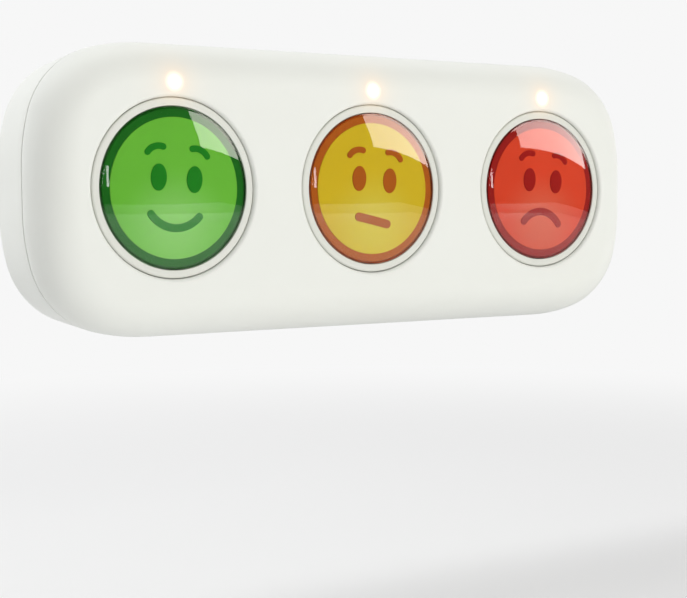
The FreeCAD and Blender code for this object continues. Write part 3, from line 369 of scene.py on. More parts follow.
# %% Loops of points
def case_loop(inset, long_steps=5, tight_steps=18):
    """Points round the case outline, drawn in by an inset, as (x, z)."""
    long_radius = LONG_RADIUS - inset
    tight_radius = TIGHT_RADIUS - inset
    across = HALF_WIDTH - inset
    up = HALF_HEIGHT - inset
    spread = LONG_RADIUS - TIGHT_RADIUS
    reach = long_radius * (math.sin(LONG_TURN) + 1 - math.cos(LONG_TURN))
    reach += tight_radius * (math.cos(LONG_TURN) - math.sin(LONG_TURN))
    side = Vector((across - long_radius, up - reach))
    upper = Vector((across - reach, up - long_radius))
    middle = upper + spread * Vector((math.sin(LONG_TURN), math.cos(LONG_TURN)))
    arcs = ((side, long_radius, 0.0, LONG_TURN, long_steps),
            (middle, tight_radius, LONG_TURN, math.pi / 2 - 2 * LONG_TURN, tight_steps),
            (upper, long_radius, math.pi / 2 - LONG_TURN, LONG_TURN, long_steps))
    quarter = []
    for centre, radius, start, sweep, steps in arcs:
        for step in range(steps + (centre is upper)):
            angle = start + sweep * step / steps
            quarter.append(centre + radius * Vector((math.cos(angle), math.sin(angle))))
    mirrored = [Vector((-point.x, point.y)) for point in reversed(quarter)]
    top = quarter + mirrored
    return top + [Vector((-point.x, -point.y)) for point in top]


def round_loop(x, z, radius, steps=128):
    """Points round a circle, as (x, z)."""
    angles = [2 * math.pi * step / steps for step in range(steps)]
    return [Vector((x + radius * math.cos(angle), z + radius * math.sin(angle))) for angle in angles]


def box_loop(x_low, x_high, z_low, z_high, corner=0.8, steps=4):
    """Points round a rectangle with small round corners, as (x, z)."""
    loop = []
    for number, (x, z) in enumerate(((x_high, z_high), (x_low, z_high), (x_low, z_low), (x_high, z_low))):
        sideways = math.copysign(corner, x - (x_low + x_high) / 2)
        upwards = math.copysign(corner, z - (z_low + z_high) / 2)
        centre = Vector((x - sideways, z - upwards))
        for step in range(steps + 1):
            angle = math.pi / 2 * (number + step / steps)
            loop.append(centre + corner * Vector((math.cos(angle), math.sin(angle))))
    return loop


def lift(loop, out):
    """A flat loop set at a distance from the wall, in metres."""
    return [Vector((point.x * MM, -out * MM, point.y * MM)) for point in loop]


# %% [markdown]
# ## Faces between the loops
#
# A loop on its own is only a line. These helpers put faces between loops, fill flat ones, and weld the
# result into one piece. Faces that share a corner are joined, so that no seam shows, and only edges
# sharper than about thirty degrees stay sharp. A count of open edges says whether a piece is closed.

# %% Bands, plates and welded pieces
WELD_REACH, TINY_EDGE, SAME_POINT = 0.004, 0.002, 1e-5


def band(rings, closed=False):
    """Quads between neighbouring rings of equal length."""
    faces = []
    pairs = list(zip(rings, rings[1:])) + ([(rings[-1], rings[0])] if closed else [])
    for near, far in pairs:
        for number in range(len(near)):
            after = (number + 1) % len(near)
            faces.append((near[number], near[after], far[after], far[number]))
    return faces


def inside(point, loop):
    """True if a flat point lies in a loop."""
    found = False
    for number in range(len(loop)):
        a, b = loop[number - 1], loop[number]
        if (a.y > point.y) != (b.y > point.y) and point.x < (b.x - a.x) * (point.y - a.y) / (b.y - a.y) + a.x:
            found = not found
    return found


def plate(out, outer, holes=()):
    """Triangles that fill a flat loop and leave its holes open."""
    loops = [outer] + list(holes)
    points, edges = [], []
    for loop in loops:
        first = len(points)
        points += loop
        edges += [(first + number, first + (number + 1) % len(loop)) for number in range(len(loop))]
    made, _, triangles, *rest = delaunay_2d_cdt(points, edges, [], 0, SAME_POINT)
    faces = []
    for triangle in triangles:
        flat = [made[index] for index in triangle]
        middle = sum(flat, Vector((0, 0))) / len(flat)
        if inside(middle, outer) and not any(inside(middle, hole) for hole in holes):
            faces.append(tuple(lift(flat, out)))
    return faces


def weld(name, faces, material, body, *nodes, sharp=32):
    """Mesh piece from loose faces: welded, faced outwards, smooth but for sharp edges."""
    build = bmesh.new()
    for corners in faces:
        build.faces.new([build.verts.new(corner) for corner in corners])
    bmesh.ops.remove_doubles(build, verts=build.verts, dist=WELD_REACH * MM)
    bmesh.ops.dissolve_degenerate(build, edges=build.edges, dist=TINY_EDGE * MM)
    loose = [edge for edge in build.edges if not edge.link_faces]
    bmesh.ops.delete(build, geom=loose, context="EDGES")
    bmesh.ops.recalc_face_normals(build, faces=build.faces)
    open_edges = sum(1 for edge in build.edges if len(edge.link_faces) != 2)
    mesh = bpy.data.meshes.new(name)
    build.to_mesh(mesh)
    build.free()
    mesh.polygons.foreach_set("use_smooth", [True] * len(mesh.polygons))
    mesh.set_sharp_from_angle(angle=math.radians(sharp))
    mesh.materials.append(material)
    piece = bpy.data.objects.new(name, mesh)
    bpy.context.scene.collection.objects.link(piece)
    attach(piece, body)
    if nodes:
        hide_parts(*nodes)
    print("%-24s %6d faces, %d open edges" % (name, len(mesh.polygons), open_edges))
    return piece


def turned_faces(x, profile, steps=160, closed=True):
    """Faces swept by a half profile of (radius, out) points about a button's axis."""
    rings = [lift(round_loop(x, ROW_RISE, max(radius, 0.0), steps), out) for radius, out in profile]
    return band(rings, closed)


def arc_profile(centre, radius, start, stop, steps):
    """Points of an arc in a half profile, with angles in degrees from the outward radius to the front."""
    angles = [math.radians(start + (stop - start) * step / steps) for step in range(steps + 1)]
    return [(centre[0] + radius * math.cos(angle), centre[1] + radius * math.sin(angle)) for angle in angles]


# %% [markdown]
# ## Front shell
#
# The front is one moulding. Its face is flat, and all round it the surface rolls back in one large
# quarter round to the parting line. Each button hole has a small rounded lip. The quarter round is
# built as many thin bands, and a narrow flat band beside it keeps its shading off the flat face.

# %% Front shell
EDGE_START = FACE_OUT - EDGE_RADIUS
FACE_BACK = FACE_OUT - WALL
SEAM_FRONT = SEAM_OUT + SEAM_HALF
GUARD, HOLE_GUARD, LIP_INSET, EASE = 0.5, 0.3, 0.22, 0.06
HOLE_RADIUS, HOLE_LIP, LEDGE_RADIUS, LEDGE_OUT = 36.15, 1.6, 34.7, 45.4
TUBE_RADIUS, TUBE_OUT = 38.8, 41.2
LAP_INSET, LAP_OUT = 1.45, 35.05
HOLE_STEPS = 160
inner_radius = EDGE_RADIUS - WALL
lap_angle = math.degrees(math.asin((LAP_OUT - EDGE_START) / inner_radius))


def rolled(radius, start, stop, steps):
    """The quarter round of an edge, as (inset, out) points."""
    arc = arc_profile((0, EDGE_START), radius, start, stop, steps)
    return [(EDGE_RADIUS - across, out) for across, out in arc]


section = [(EDGE_RADIUS + GUARD, FACE_BACK)] + rolled(inner_radius, 90, lap_angle, 14)
section += [(LAP_INSET, LAP_OUT), (LAP_INSET, SEAM_FRONT), (LIP_INSET, SEAM_FRONT)]
section += [(EASE, SEAM_FRONT + EASE)] + rolled(EDGE_RADIUS, 0, 90, 30)
section += [(EDGE_RADIUS + GUARD, FACE_OUT)]
faces = band([lift(case_loop(inset), out) for inset, out in section])
guard_loop = case_loop(EDGE_RADIUS + GUARD)
lip = arc_profile((HOLE_RADIUS + HOLE_LIP, FACE_OUT - HOLE_LIP), HOLE_LIP, 90, 180, 10)
hole = [(HOLE_RADIUS + HOLE_LIP + HOLE_GUARD, FACE_OUT)] + lip
hole += [(HOLE_RADIUS, LEDGE_OUT), (LEDGE_RADIUS, LEDGE_OUT), (LEDGE_RADIUS, TUBE_OUT)]
hole += [(TUBE_RADIUS, TUBE_OUT), (TUBE_RADIUS, FACE_BACK), (TUBE_RADIUS + HOLE_GUARD, FACE_BACK)]
for place in SIDES.values():
    faces += turned_faces(place * PITCH, hole, HOLE_STEPS, closed=False)
for out, radius in ((FACE_OUT, hole[0][0]), (FACE_BACK, hole[-1][0])):
    holes = [round_loop(place * PITCH, ROW_RISE, radius, HOLE_STEPS) for place in SIDES.values()]
    faces += plate(out, guard_loop, holes)
front = weld("front_moulding", faces, CASE_WHITE, "case", "front_shell")

# %% [markdown]
# ## Rear shell and seal
#
# The rear shell is a tray that draws in a little towards the wall, so that it leaves its mould and its
# back edge stays out of sight. Its back has a sunken seat for the bracket, with two slots for the hooks,
# the battery bay with its stepped seat, counterbored screw holes and shallow seats for rubber pads.
# Each recess is a loop in the flat back that is carried inwards as a band and closed by a plate.

# %% Rear shell's wall
REAR_OUT, TAPER, REAR_EDGE = 0.4, 2.4, 2.2
RIM_OUT = SEAM_OUT - SEAM_HALF
INNER_OUT = REAR_OUT + WALL
TONGUE_OUT, TONGUE_INSET = RIM_OUT + 2.3, LAP_INSET + 0.15
RIM_EASE, EASE_INSET = 0.24, 0.02
WALL_LEVELS = (8, 14, 20, 26)


def draw_in(out):
    """How far the tapered wall stands in from the outline."""
    return TAPER * (RIM_OUT - out) / (RIM_OUT - REAR_OUT)


start = draw_in(REAR_OUT + REAR_EDGE)
corner = arc_profile((0, 0), REAR_EDGE, 90, 0, 8)
section = [(start + REAR_EDGE + GUARD, REAR_OUT)]
section += [(start + REAR_EDGE - across, REAR_OUT + REAR_EDGE - depth) for across, depth in corner]
section += [(draw_in(out), out) for out in WALL_LEVELS]
section += [(EASE_INSET, RIM_OUT - RIM_EASE), (EASE, RIM_OUT - EASE), (LIP_INSET, RIM_OUT)]
section += [(TONGUE_INSET, RIM_OUT), (TONGUE_INSET, TONGUE_OUT), (WALL, TONGUE_OUT), (WALL, RIM_OUT)]
section += [(WALL + draw_in(INNER_OUT), INNER_OUT), (WALL + draw_in(INNER_OUT) + GUARD, INNER_OUT)]
faces = band([lift(case_loop(inset), out) for inset, out in section])
back_holes, inner_holes = [], []
print("the rear wall draws in %.1f mm towards the back" % draw_in(REAR_OUT))

# %% [markdown]
# ## Seats in the back
#
# The seat of the bracket and the battery bay are deep, so each also needs a block that stands inside the
# shell round it. Both are the same few steps: a loop, the walls of a shaft, and a plate for its floor.


# %% Seat of the bracket and battery bay
def shaft(loops, levels):
    """Walls that carry a loop through several levels, each level with its own loop."""
    return band([lift(loop, out) for loop, out in zip(loops, levels)])


def grown(box, by):
    """Loop round a box (x_low, x_high, z_low, z_high) that stands out from it on all sides."""
    x_low, x_high, z_low, z_high = box
    return box_loop(x_low - by, x_high + by, z_low - by, z_high + by)


SEAT_BOX, SEAT_FLOOR, SEAT_TOP, SEAT_WALL = (-47.5, 47.5, -41, 31), 8.1, 10.7, 2.0
SLOT_MIDDLE, SLOT_HALF, SLOT_LOW, SLOT_HIGH, SLOT_CORNER = 22, 5, -14.5, 1.15, 0.6
seat = grown(SEAT_BOX, 0)
block = grown(SEAT_BOX, SEAT_WALL)
slots = [box_loop(middle - SLOT_HALF, middle + SLOT_HALF, SLOT_LOW, SLOT_HIGH, SLOT_CORNER)
         for middle in (-SLOT_MIDDLE, SLOT_MIDDLE)]
faces += shaft([seat, seat], [REAR_OUT, SEAT_FLOOR]) + plate(SEAT_FLOOR, seat, slots)
faces += shaft([block, block], [INNER_OUT, SEAT_TOP]) + plate(SEAT_TOP, block, slots)
for slot in slots:
    faces += shaft([slot, slot], [SEAT_FLOOR, SEAT_TOP])

BAY_BOX, BAY_OUT, BAY_TOP, BAY_WALL = (66, 124, -23.4, 23.4), 18.0, 19.8, 1.8
DOOR_LEDGE, DOOR_SEAT_OUT = 2.6, 2.4
bay = grown(BAY_BOX, 0)
door_seat = grown(BAY_BOX, DOOR_LEDGE)
bay_block = grown(BAY_BOX, BAY_WALL)
faces += shaft([door_seat, door_seat], [REAR_OUT, DOOR_SEAT_OUT]) + plate(DOOR_SEAT_OUT, door_seat, [bay])
faces += shaft([bay, bay], [DOOR_SEAT_OUT, BAY_OUT]) + plate(BAY_OUT, bay)
faces += shaft([bay_block, bay_block], [INNER_OUT, BAY_TOP]) + plate(BAY_TOP, bay_block)
back_holes += [seat, door_seat]
inner_holes += [block, bay_block]
print("bracket seat %.1f mm deep, battery bay %.1f mm" % (SEAT_FLOOR - REAR_OUT, BAY_OUT - REAR_OUT))

# %% [markdown]
# ## Screw holes, pads and the seal
#
# Each screw hole is wide for the head and narrow for the shank, and stands in a boss inside. With the
# pads' shallow seats the list of holes is complete, and two plates close the shell. The seal is a plain
# ring in the gap between the shells, a millimetre in from the outside, so the gap reads as a dark line.

# %% Screw holes, pad seats and the finished shell
screw_places = [(x, z) for x in (-47.75, 47.75) for z in (-47.5, 47.5)]
screw_places += [(x, z) for x in (-141, 141) for z in (-13, 13)]
HEAD_HOLE, SHANK_HOLE, BOSS, HEAD_SEAT, BOSS_TOP, SCREW_STEPS = 3.1, 1.6, 4.3, 8.0, 13.9, 32
for x, z in screw_places:
    radii = (HEAD_HOLE, HEAD_HOLE, SHANK_HOLE, SHANK_HOLE, BOSS, BOSS)
    levels = (REAR_OUT, HEAD_SEAT, HEAD_SEAT, BOSS_TOP, BOSS_TOP, INNER_OUT)
    faces += shaft([round_loop(x, z, radius, SCREW_STEPS) for radius in radii], levels)
    back_holes.append(round_loop(x, z, HEAD_HOLE, SCREW_STEPS))
    inner_holes.append(round_loop(x, z, BOSS, SCREW_STEPS))
PAD_SEAT, PAD_SEAT_OUT, PAD_STEPS = 5.1, 1.2, 48
for x, z in [(x, z) for x in (-106, 106) for z in (-43, 43)]:
    ring = round_loop(x, z, PAD_SEAT, PAD_STEPS)
    faces += shaft([ring, ring], [REAR_OUT, PAD_SEAT_OUT]) + plate(PAD_SEAT_OUT, ring)
    back_holes.append(ring)
back_loop = case_loop(start + REAR_EDGE + GUARD)
inner_loop = case_loop(WALL + draw_in(INNER_OUT) + GUARD)
faces += plate(REAR_OUT, back_loop, back_holes)
faces += plate(INNER_OUT, inner_loop, inner_holes)
rear = weld("rear_moulding", faces, PLAIN_WHITE, "case", "rear_shell")

# %% Seal
SEAL_OUTSIDE, SEAL_INSIDE = 1.0, 1.4
section = [(SEAL_OUTSIDE, RIM_OUT), (SEAL_OUTSIDE, SEAM_FRONT)]
section += [(SEAL_INSIDE, SEAM_FRONT), (SEAL_INSIDE, RIM_OUT)]
faces = band([lift(case_loop(inset), out) for inset, out in section], closed=True)
seal = weld("seam_gasket", faces, FINISH["grey_rubber"], "case", "seam_seal")

# %% [markdown]
# ## Buttons
#
# A button is a stack of turned pieces: a white collar almost flush with the face, the clear dome with its
# thin rim, and behind it the dark head of the plunger with the light disc set in. A thin flange on the
# head reaches under the dome's skirt, so that the clear rim shows dark plastic behind it. Turning a half
# profile about the button's axis makes each piece, with small rounded edges that catch the light.

# %% Sizes of the turned pieces
STEM_HOLE, WEB_BACK, WEB_FRONT = 5.06, 36.6, 38.4
COLLAR_BODY, COLLAR_RADIUS, COLLAR_BORE, FLANGE_BACK = 34.5, 35.85, 32.6, 45.45
COLLAR_BEVEL, BORE_ROUND = 0.95, 0.4
DOME_RADIUS, DOME_RISE, DOME_WALL, SKIRT_WALL, RIM_ROUND = 32.3, 5.0, 1.8, 0.7, 0.35
SKIRT_OUT, DOME_UNDER, RIM_STEP = 46.9, 0.4, 0.12
DISC_RADIUS, DISC_BACK, DISC_EDGE = 28.05, 47.6, 0.1
HEAD_RADIUS, HEAD_BACK, HEAD_EDGE, RING_OUT = 31.45, 46.0, 0.3, 48.35
FLANGE_RADIUS, FLANGE_GAP, POCKET_GAP = 32.25, 0.06, 0.03
STEM_RADIUS, STEM_BACK, CLIP_RADIUS, CLIP_BACK, CLIP_FRONT = 5, 34.0, 4.3, 35.6, 36.4
DOME_STEPS = 192
inner = DOME_RADIUS - SKIRT_WALL
pocket = DISC_RADIUS + POCKET_GAP
flange_front = SKIRT_OUT - FLANGE_GAP
print("dome %.1f mm across, disc %.1f mm across" % (2 * DOME_RADIUS, 2 * DISC_RADIUS))


def cap_profile(radius, base, rise, steps):
    """Half profile of a shallow spherical cap, from its edge to its top."""
    ball = (radius ** 2 + rise ** 2) / (2 * rise)
    edge = math.degrees(math.asin((ball - rise) / ball))
    return arc_profile((0, base + rise - ball), ball, edge, 90, steps)


# %% Half profiles
collar = [(STEM_HOLE, WEB_FRONT), (STEM_HOLE, WEB_BACK), (COLLAR_BODY, WEB_BACK), (COLLAR_BODY, FLANGE_BACK)]
collar += [(COLLAR_RADIUS, FLANGE_BACK)]
collar += arc_profile((COLLAR_RADIUS - COLLAR_BEVEL, GROOVE_OUT - COLLAR_BEVEL), COLLAR_BEVEL, 0, 90, 8)
collar += arc_profile((COLLAR_BORE + BORE_ROUND, GROOVE_OUT - BORE_ROUND), BORE_ROUND, 90, 180, 6)
collar += [(COLLAR_BORE, WEB_FRONT)]
dome = [(inner, SKIRT_OUT), (DOME_RADIUS, SKIRT_OUT)]
dome += arc_profile((DOME_RADIUS - RIM_ROUND, GROOVE_OUT - RIM_ROUND), RIM_ROUND, 0, 65, 5)
dome += cap_profile(DOME_RADIUS - RIM_ROUND - RIM_STEP, GROOVE_OUT, DOME_RISE, 44)
dome += reversed(cap_profile(inner, GROOVE_OUT - DOME_UNDER, DOME_RISE - DOME_WALL + DOME_UNDER, 36))
disc = [(0, DISC_BACK), (DISC_RADIUS, DISC_BACK), (DISC_RADIUS, DISC_OUT - DISC_EDGE)]
disc += [(DISC_RADIUS - DISC_EDGE, DISC_OUT), (0, DISC_OUT)]
head = [(0, STEM_BACK), (STEM_RADIUS, STEM_BACK), (STEM_RADIUS, CLIP_BACK), (CLIP_RADIUS, CLIP_BACK)]
head += [(CLIP_RADIUS, CLIP_FRONT), (STEM_RADIUS, CLIP_FRONT), (STEM_RADIUS, HEAD_BACK)]
head += [(FLANGE_RADIUS, HEAD_BACK), (FLANGE_RADIUS, flange_front), (HEAD_RADIUS, flange_front)]
head += [(HEAD_RADIUS, RING_OUT - HEAD_EDGE), (HEAD_RADIUS - HEAD_EDGE, RING_OUT), (pocket, RING_OUT)]
head += [(pocket, DISC_BACK - POCKET_GAP), (0, DISC_BACK - POCKET_GAP)]
print("profile points: collar %d, dome %d, disc %d, head %d" % (len(collar), len(dome), len(disc), len(head)))

# %% Collars, domes, rings and discs
for side, place in SIDES.items():
    x = place * PITCH
    tint = TINTS[side]
    button = side + "_button"
    piece = weld("collar_ring_" + side, turned_faces(x, collar), COLLAR_WHITE, "case", "collar_" + side)
    faces = turned_faces(x, dome, DOME_STEPS)
    piece = weld("dome_" + side, faces, LENS[side], button, "dome_lens_" + side, sharp=40)
    piece = weld("printed_disc_" + side, turned_faces(x, disc), DISC[side], button, "face_disc_" + side)
    piece = weld("plunger_head_" + side, turned_faces(x, head), RING[side], button, "plunger_" + side)

# %% [markdown]
# ## Return springs
#
# A coil of hard steel wire pushes each button out again. The wire follows a helix, so a ring of points is
# set square to it at every step, and a band joins the rings. The coil stands on the case and is built as
# one fixed piece; on the real terminal its front end goes in with the button, so it is squashed towards
# its back end as the button is pressed.

# %% Coils
COIL_RADIUS, WIRE_RADIUS, COIL_TURNS, TRAVEL, SLACK = 8.5, 0.45, 3.5, 3.5, 0.1
STEPS_PER_TURN, WIRE_SIDES = 36, 12
for side, place in SIDES.items():
    coil_low, coil_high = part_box("return_spring_" + side)
    coil_back, coil_front = -coil_high[1] / MM, -coil_low[1] / MM
    centre = Vector((place * PITCH, -coil_back - WIRE_RADIUS, ROW_RISE))
    climb = coil_front - coil_back - 2 * WIRE_RADIUS
    count = round(COIL_TURNS * STEPS_PER_TURN)
    rings = []
    for step in range(count + 1):
        angle = 2 * math.pi * COIL_TURNS * step / count
        away = Vector((math.cos(angle), 0, math.sin(angle)))
        wire = centre + COIL_RADIUS * away + Vector((0, -climb * step / count, 0))
        turns = [2 * math.pi * number / WIRE_SIDES for number in range(WIRE_SIDES)]
        spokes = [math.cos(turn) * away - math.sin(turn) * Vector((0, 1, 0)) for turn in turns]
        rings.append([(wire + WIRE_RADIUS * spoke) * MM for spoke in spokes])
    faces = band(rings) + [tuple(rings[0]), tuple(rings[-1])]
    coil = weld("return_coil_" + side, faces, FINISH["spring_steel"], "case", "return_spring_" + side)
    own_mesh(coil)

# %% [markdown]
# ## Face marks
#
# The marks are the usual rating faces: two upright oval eyes, two brows and a mouth that smiles, lies
# flat or frowns. Each is one flat shape with a little thickness. Strokes follow an arc through three
# points and end in half circles, so a few real sizes describe them all.

# %% Marks
MARK_THICK, MARK_SINK, BROW_STROKE = 0.25, 0.02, 2.6
EYE_SPAN, EYE_RISE, EYE_WIDE, EYE_HIGH = 7.85, 3.85, 3.45, 5.3
FACE_TURN, FACE_SHIFT = math.radians(-3.4), 0.45
BROW = ((13.1, 13.4), (10.1, 15.75), (6.4, 15.9))
MOUTHS = {
    "happy": ((-10.6, -10.7), (0.0, -15.7), (10.6, -10.7), 3.15),
    "neutral": ((-7.3, -12.4), (0.05, -13.5), (7.4, -14.75), 3.7),
    "unhappy": ((-10.2, -15.3), (0.1, -10.3), (10.4, -15.5), 3.4),
}


def stroke_loop(points, width, steps=28, cap_steps=10):
    """Outline of a round-ended stroke along the arc through three points."""
    a, b, c = (Vector(point) for point in points)
    turn = 2 * (a.x * (b.y - c.y) + b.x * (c.y - a.y) + c.x * (a.y - b.y))
    aa, bb, cc = a.length_squared, b.length_squared, c.length_squared
    x = (aa * (b.y - c.y) + bb * (c.y - a.y) + cc * (a.y - b.y)) / turn
    y = (aa * (c.x - b.x) + bb * (a.x - c.x) + cc * (b.x - a.x)) / turn
    centre = Vector((x, y))
    radius = (a - centre).length
    first, last = (math.atan2((p - centre).y, (p - centre).x) for p in (a, c))
    sweep = (last - first + math.pi) % (2 * math.pi) - math.pi
    half = width / 2
    loop = []
    for step in range(steps + 1):
        angle = first + sweep * step / steps
        loop.append(centre + (radius + half) * Vector((math.cos(angle), math.sin(angle))))
    way = math.copysign(1, sweep)
    for step in range(1, cap_steps):
        angle = last + way * math.pi * step / cap_steps
        loop.append(c + half * Vector((math.cos(angle), math.sin(angle))))
    for step in range(steps + 1):
        angle = last - sweep * step / steps
        loop.append(centre + (radius - half) * Vector((math.cos(angle), math.sin(angle))))
    for step in range(1, cap_steps):
        angle = first + math.pi + way * math.pi * step / cap_steps
        loop.append(a + half * Vector((math.cos(angle), math.sin(angle))))
    return loop


def oval_loop(x, z, wide, high, steps=48):
    """Points round an upright oval."""
    angles = [2 * math.pi * step / steps for step in range(steps)]
    return [Vector((x + wide * math.cos(angle), z + high * math.sin(angle))) for angle in angles]


for side, place in SIDES.items():
    tint = TINTS[side]
    *mouth, width = MOUTHS[side]
    loops = [stroke_loop(mouth, width)]
    for way in (-1, 1):
        loops.append(oval_loop(way * EYE_SPAN, EYE_RISE, EYE_WIDE, EYE_HIGH))
        loops.append(stroke_loop([(way * x, z) for x, z in BROW], BROW_STROKE, 14))
    faces = []
    for loop in loops:
        placed = []
        for point in loop:
            shifted = Vector((point.x + FACE_SHIFT, point.y))
            x = shifted.x * math.cos(FACE_TURN) - shifted.y * math.sin(FACE_TURN)
            z = shifted.x * math.sin(FACE_TURN) + shifted.y * math.cos(FACE_TURN)
            placed.append(Vector((place * PITCH + x, ROW_RISE + z)))
        back, front_face = DISC_OUT - MARK_SINK, DISC_OUT + MARK_THICK
        faces += band([lift(placed, back), lift(placed, front_face)])
        faces += plate(back, placed) + plate(front_face, placed)
    piece = weld("printed_marks_" + side, faces, MARKS[side], side + "_button", "face_marks_" + side)

# %% [markdown]
# ## Floor
#
# The floor is pale and plain. The camera sees it lifted part of the way to the white of the backdrop,
# and all the way at a distance. Near the terminal enough of the surface is left to show a soft shadow.

# %% Floor
FLOOR_RISE, FLOOR_HALF, FLOOR_SHIFT, FLOOR_CELLS = -0.17, 1.6, 0.1, 24
FADE_FROM, FADE_TO, FADE_LEAST = 0.35, 0.9, 0.45
WHITE, SKY, DARK_ROOM = 0.93, 0.48, 0.06
build = bmesh.new()
bmesh.ops.create_grid(build, x_segments=FLOOR_CELLS, y_segments=FLOOR_CELLS, size=FLOOR_HALF)
bmesh.ops.translate(build, verts=build.verts, vec=(0, FLOOR_SHIFT, FLOOR_RISE))
floor_mesh = bpy.data.meshes.new("floor")
build.to_mesh(floor_mesh)
build.free()
floor = bpy.data.objects.new("floor", floor_mesh)
bpy.context.scene.collection.objects.link(floor)
floor_paint, floor_shader = new_material("pale_floor", Base_Color=(0.8, 0.8, 0.8, 1), Roughness=0.7)
point = add_node(floor_paint, "ShaderNodeTexCoord")
distance = add_node(floor_paint, "ShaderNodeVectorMath", {"operation": "LENGTH"},
                    {0: point.outputs["Object"]})
fade_range = {"interpolation_type": "SMOOTHSTEP", "From Min": FADE_FROM, "From Max": FADE_TO,
              "To Min": FADE_LEAST}
fade = add_node(floor_paint, "ShaderNodeMapRange", fade_range, {"Value": distance.outputs["Value"]})
path = add_node(floor_paint, "ShaderNodeLightPath")
seen = add_node(floor_paint, "ShaderNodeMath", {"operation": "MULTIPLY"},
                {0: fade.outputs["Result"], 1: path.outputs["Is Camera Ray"]})
white = add_node(floor_paint, "ShaderNodeEmission", {"Color": (WHITE, WHITE, WHITE, 1)})
mix = add_node(floor_paint, "ShaderNodeMixShader", {},
               {0: seen.outputs[0], 1: floor_shader.outputs[0], 2: white.outputs[0]})
connect(floor_paint, mix.outputs[0], floor_paint.node_tree.nodes["Material Output"], "Surface")
floor_mesh.materials.append(floor_paint)
print("floor %.1f m wide, %.2f m below the terminal's middle" % (2 * FLOOR_HALF, -FLOOR_RISE))

# %% [markdown]
# ## Studio
#
# An even sky fills the shadows. The camera sees white behind everything, and so do mirrored and
# refracted rays that leave towards the back. Towards the front the room is dark for mirrored rays, as a
# studio is behind its camera, because a polished dome only looks clear and deep if most of what it
# mirrors is dark.

# %% World
DARK_UP_TO, WHITE_FROM = -0.2, 0.1
scene = bpy.context.scene
scene.view_settings.view_transform = "Standard"
world = bpy.data.worlds.new("studio")
scene.world = world
world.use_nodes = True
backdrop = world.node_tree.nodes["Background"]
backdrop.inputs["Color"].default_value = (WHITE, WHITE, WHITE, 1)
sky = add_node(world, "ShaderNodeBackground", {"Color": (SKY, SKY, SKY, 1)})
dark = add_node(world, "ShaderNodeBackground", {"Color": (DARK_ROOM, DARK_ROOM, DARK_ROOM, 1)})
path = add_node(world, "ShaderNodeLightPath")
way = add_node(world, "ShaderNodeTexCoord")
apart = add_node(world, "ShaderNodeSeparateXYZ", {}, {0: way.outputs["Generated"]})
behind = add_node(world, "ShaderNodeMapRange", {"From Min": DARK_UP_TO, "From Max": WHITE_FROM},
                  {"Value": apart.outputs["Y"]})
in_front = add_node(world, "ShaderNodeMath", {"operation": "SUBTRACT", 0: 1.0},
                    {1: behind.outputs["Result"]})
mirrored = add_node(world, "ShaderNodeMath", {"operation": "MULTIPLY"},
                    {0: path.outputs["Is Glossy Ray"], 1: in_front.outputs[0]})
room = add_node(world, "ShaderNodeMixShader", {},
                {0: mirrored.outputs[0], 1: sky.outputs[0], 2: dark.outputs[0]})
gloss = add_node(world, "ShaderNodeMath", {"operation": "MAXIMUM"},
                 {0: path.outputs["Is Glossy Ray"], 1: path.outputs["Is Transmission Ray"]})
through = add_node(world, "ShaderNodeMath", {"operation": "MULTIPLY"},
                   {0: gloss.outputs[0], 1: behind.outputs["Result"]})
seen = add_node(world, "ShaderNodeMath", {"operation": "MAXIMUM"},
                {0: path.outputs["Is Camera Ray"], 1: through.outputs[0]})
mix = add_node(world, "ShaderNodeMixShader", {},
               {0: seen.outputs[0], 1: room.outputs[0], 2: backdrop.outputs[0]})
connect(world, mix.outputs[0], world.node_tree.nodes["World Output"], "Surface")
print("sky %.2f, backdrop %.2f" % (SKY, WHITE))

# %% [markdown]
# ## Lamps
#
# A large soft lamp in front, a little to the right, lights the case, and a second one high behind its
# left end shades the side wall from top to bottom. The others only show as reflections in the domes: a
# window makes the sharp bright patch at the upper right of each dome, and a narrow strip for each dome
# makes the thin line on its other side. A lamp that lights chosen pieces alone leaves the case even.


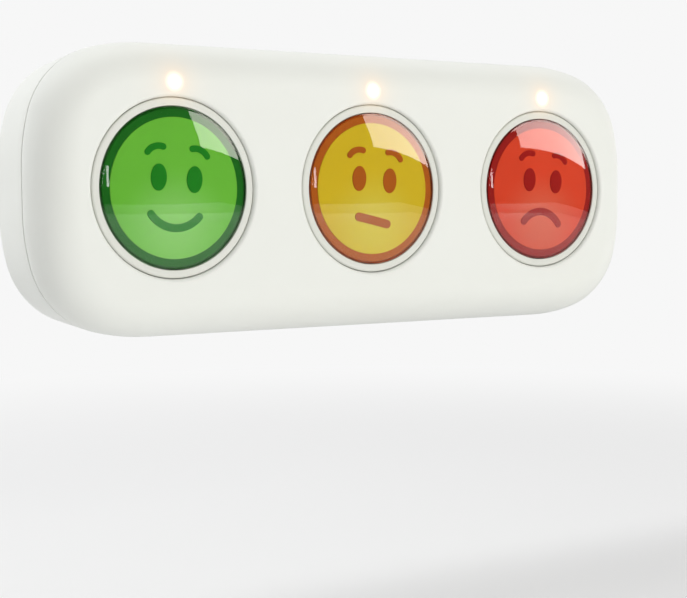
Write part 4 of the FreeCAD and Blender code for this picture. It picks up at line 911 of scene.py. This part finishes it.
# %% Lamps
def soft_lamp(name, place, target, size, watts, colour, only_on=()):
    """Oblong lamp that faces a target. With pieces named, it only shows as a reflection in those."""
    data = bpy.data.lights.new(name, "AREA")
    data.shape = "RECTANGLE"
    data.size, data.size_y = size
    data.energy = watts
    data.color = hex_colour(colour)[:3]
    lamp = bpy.data.objects.new(name, data)
    lamp.location = place
    lamp.rotation_euler = (Vector(target) - Vector(place)).to_track_quat("-Z", "Y").to_euler()
    lamp.visible_camera = False
    lamp.visible_transmission = False
    lamp.visible_diffuse = not only_on
    lamp.visible_glossy = bool(only_on)
    scene.collection.objects.link(lamp)
    if only_on:
        group = bpy.data.collections.new(name + "_pieces")
        for piece in only_on:
            group.objects.link(piece)
        lamp.light_linking.receiver_collection = group
    print("%-14s %5.2f W" % (name, watts))


DOMES = {side: bpy.data.objects["dome_" + side] for side in SIDES}
STRIP_ACROSS = {"happy": -0.33, "neutral": -0.05, "unhappy": 0.215}
STRIP_OUT, STRIP_RISE = 1.5, 0.17
soft_lamp("key", place=(0.72, -1.86, 0.32), target=(0, 0, 0), size=(1.2, 1.2), watts=24,
          colour="fffefa")
soft_lamp("side_fill", place=(-0.9, 0.7, 1.3), target=(-0.12, 0, 0), size=(0.8, 0.8), watts=19,
          colour="fdfeff")
soft_lamp("window", place=(0.96, -0.5, 0.505), target=(0.96, 0.0, 0.505), size=(1.3, 0.6), watts=18,
          colour="fff8f2", only_on=list(DOMES.values()))
for side, across in STRIP_ACROSS.items():
    soft_lamp("strip_" + side, place=(across, -STRIP_OUT, STRIP_RISE), target=(across, 0.0, STRIP_RISE),
              size=(0.03, 0.26), watts=0.24, colour="ffffff", only_on=[DOMES[side]])

# %% [markdown]
# ## Camera
#
# The terminal is seen from its left, at the height of its middle. The place and the angles were solved
# from the three equal buttons and the case's outline, and the long lens keeps the perspective mild.

# %% Camera
CAMERA_PLACE = (-0.3722, -0.5846, -0.0112)
CAMERA_ANGLES = (86.861, 0.550, -33.667)
camera_data = bpy.data.cameras.new("camera")
camera_data.sensor_width = 36.0
camera_data.lens = 78.99
camera_data.clip_start = 0.01
camera = bpy.data.objects.new("camera", camera_data)
camera.location = CAMERA_PLACE
camera.rotation_euler = Euler([math.radians(angle) for angle in CAMERA_ANGLES])
scene.collection.objects.link(camera)
scene.camera = camera
print("camera %.2f m from the origin" % camera.location.length)
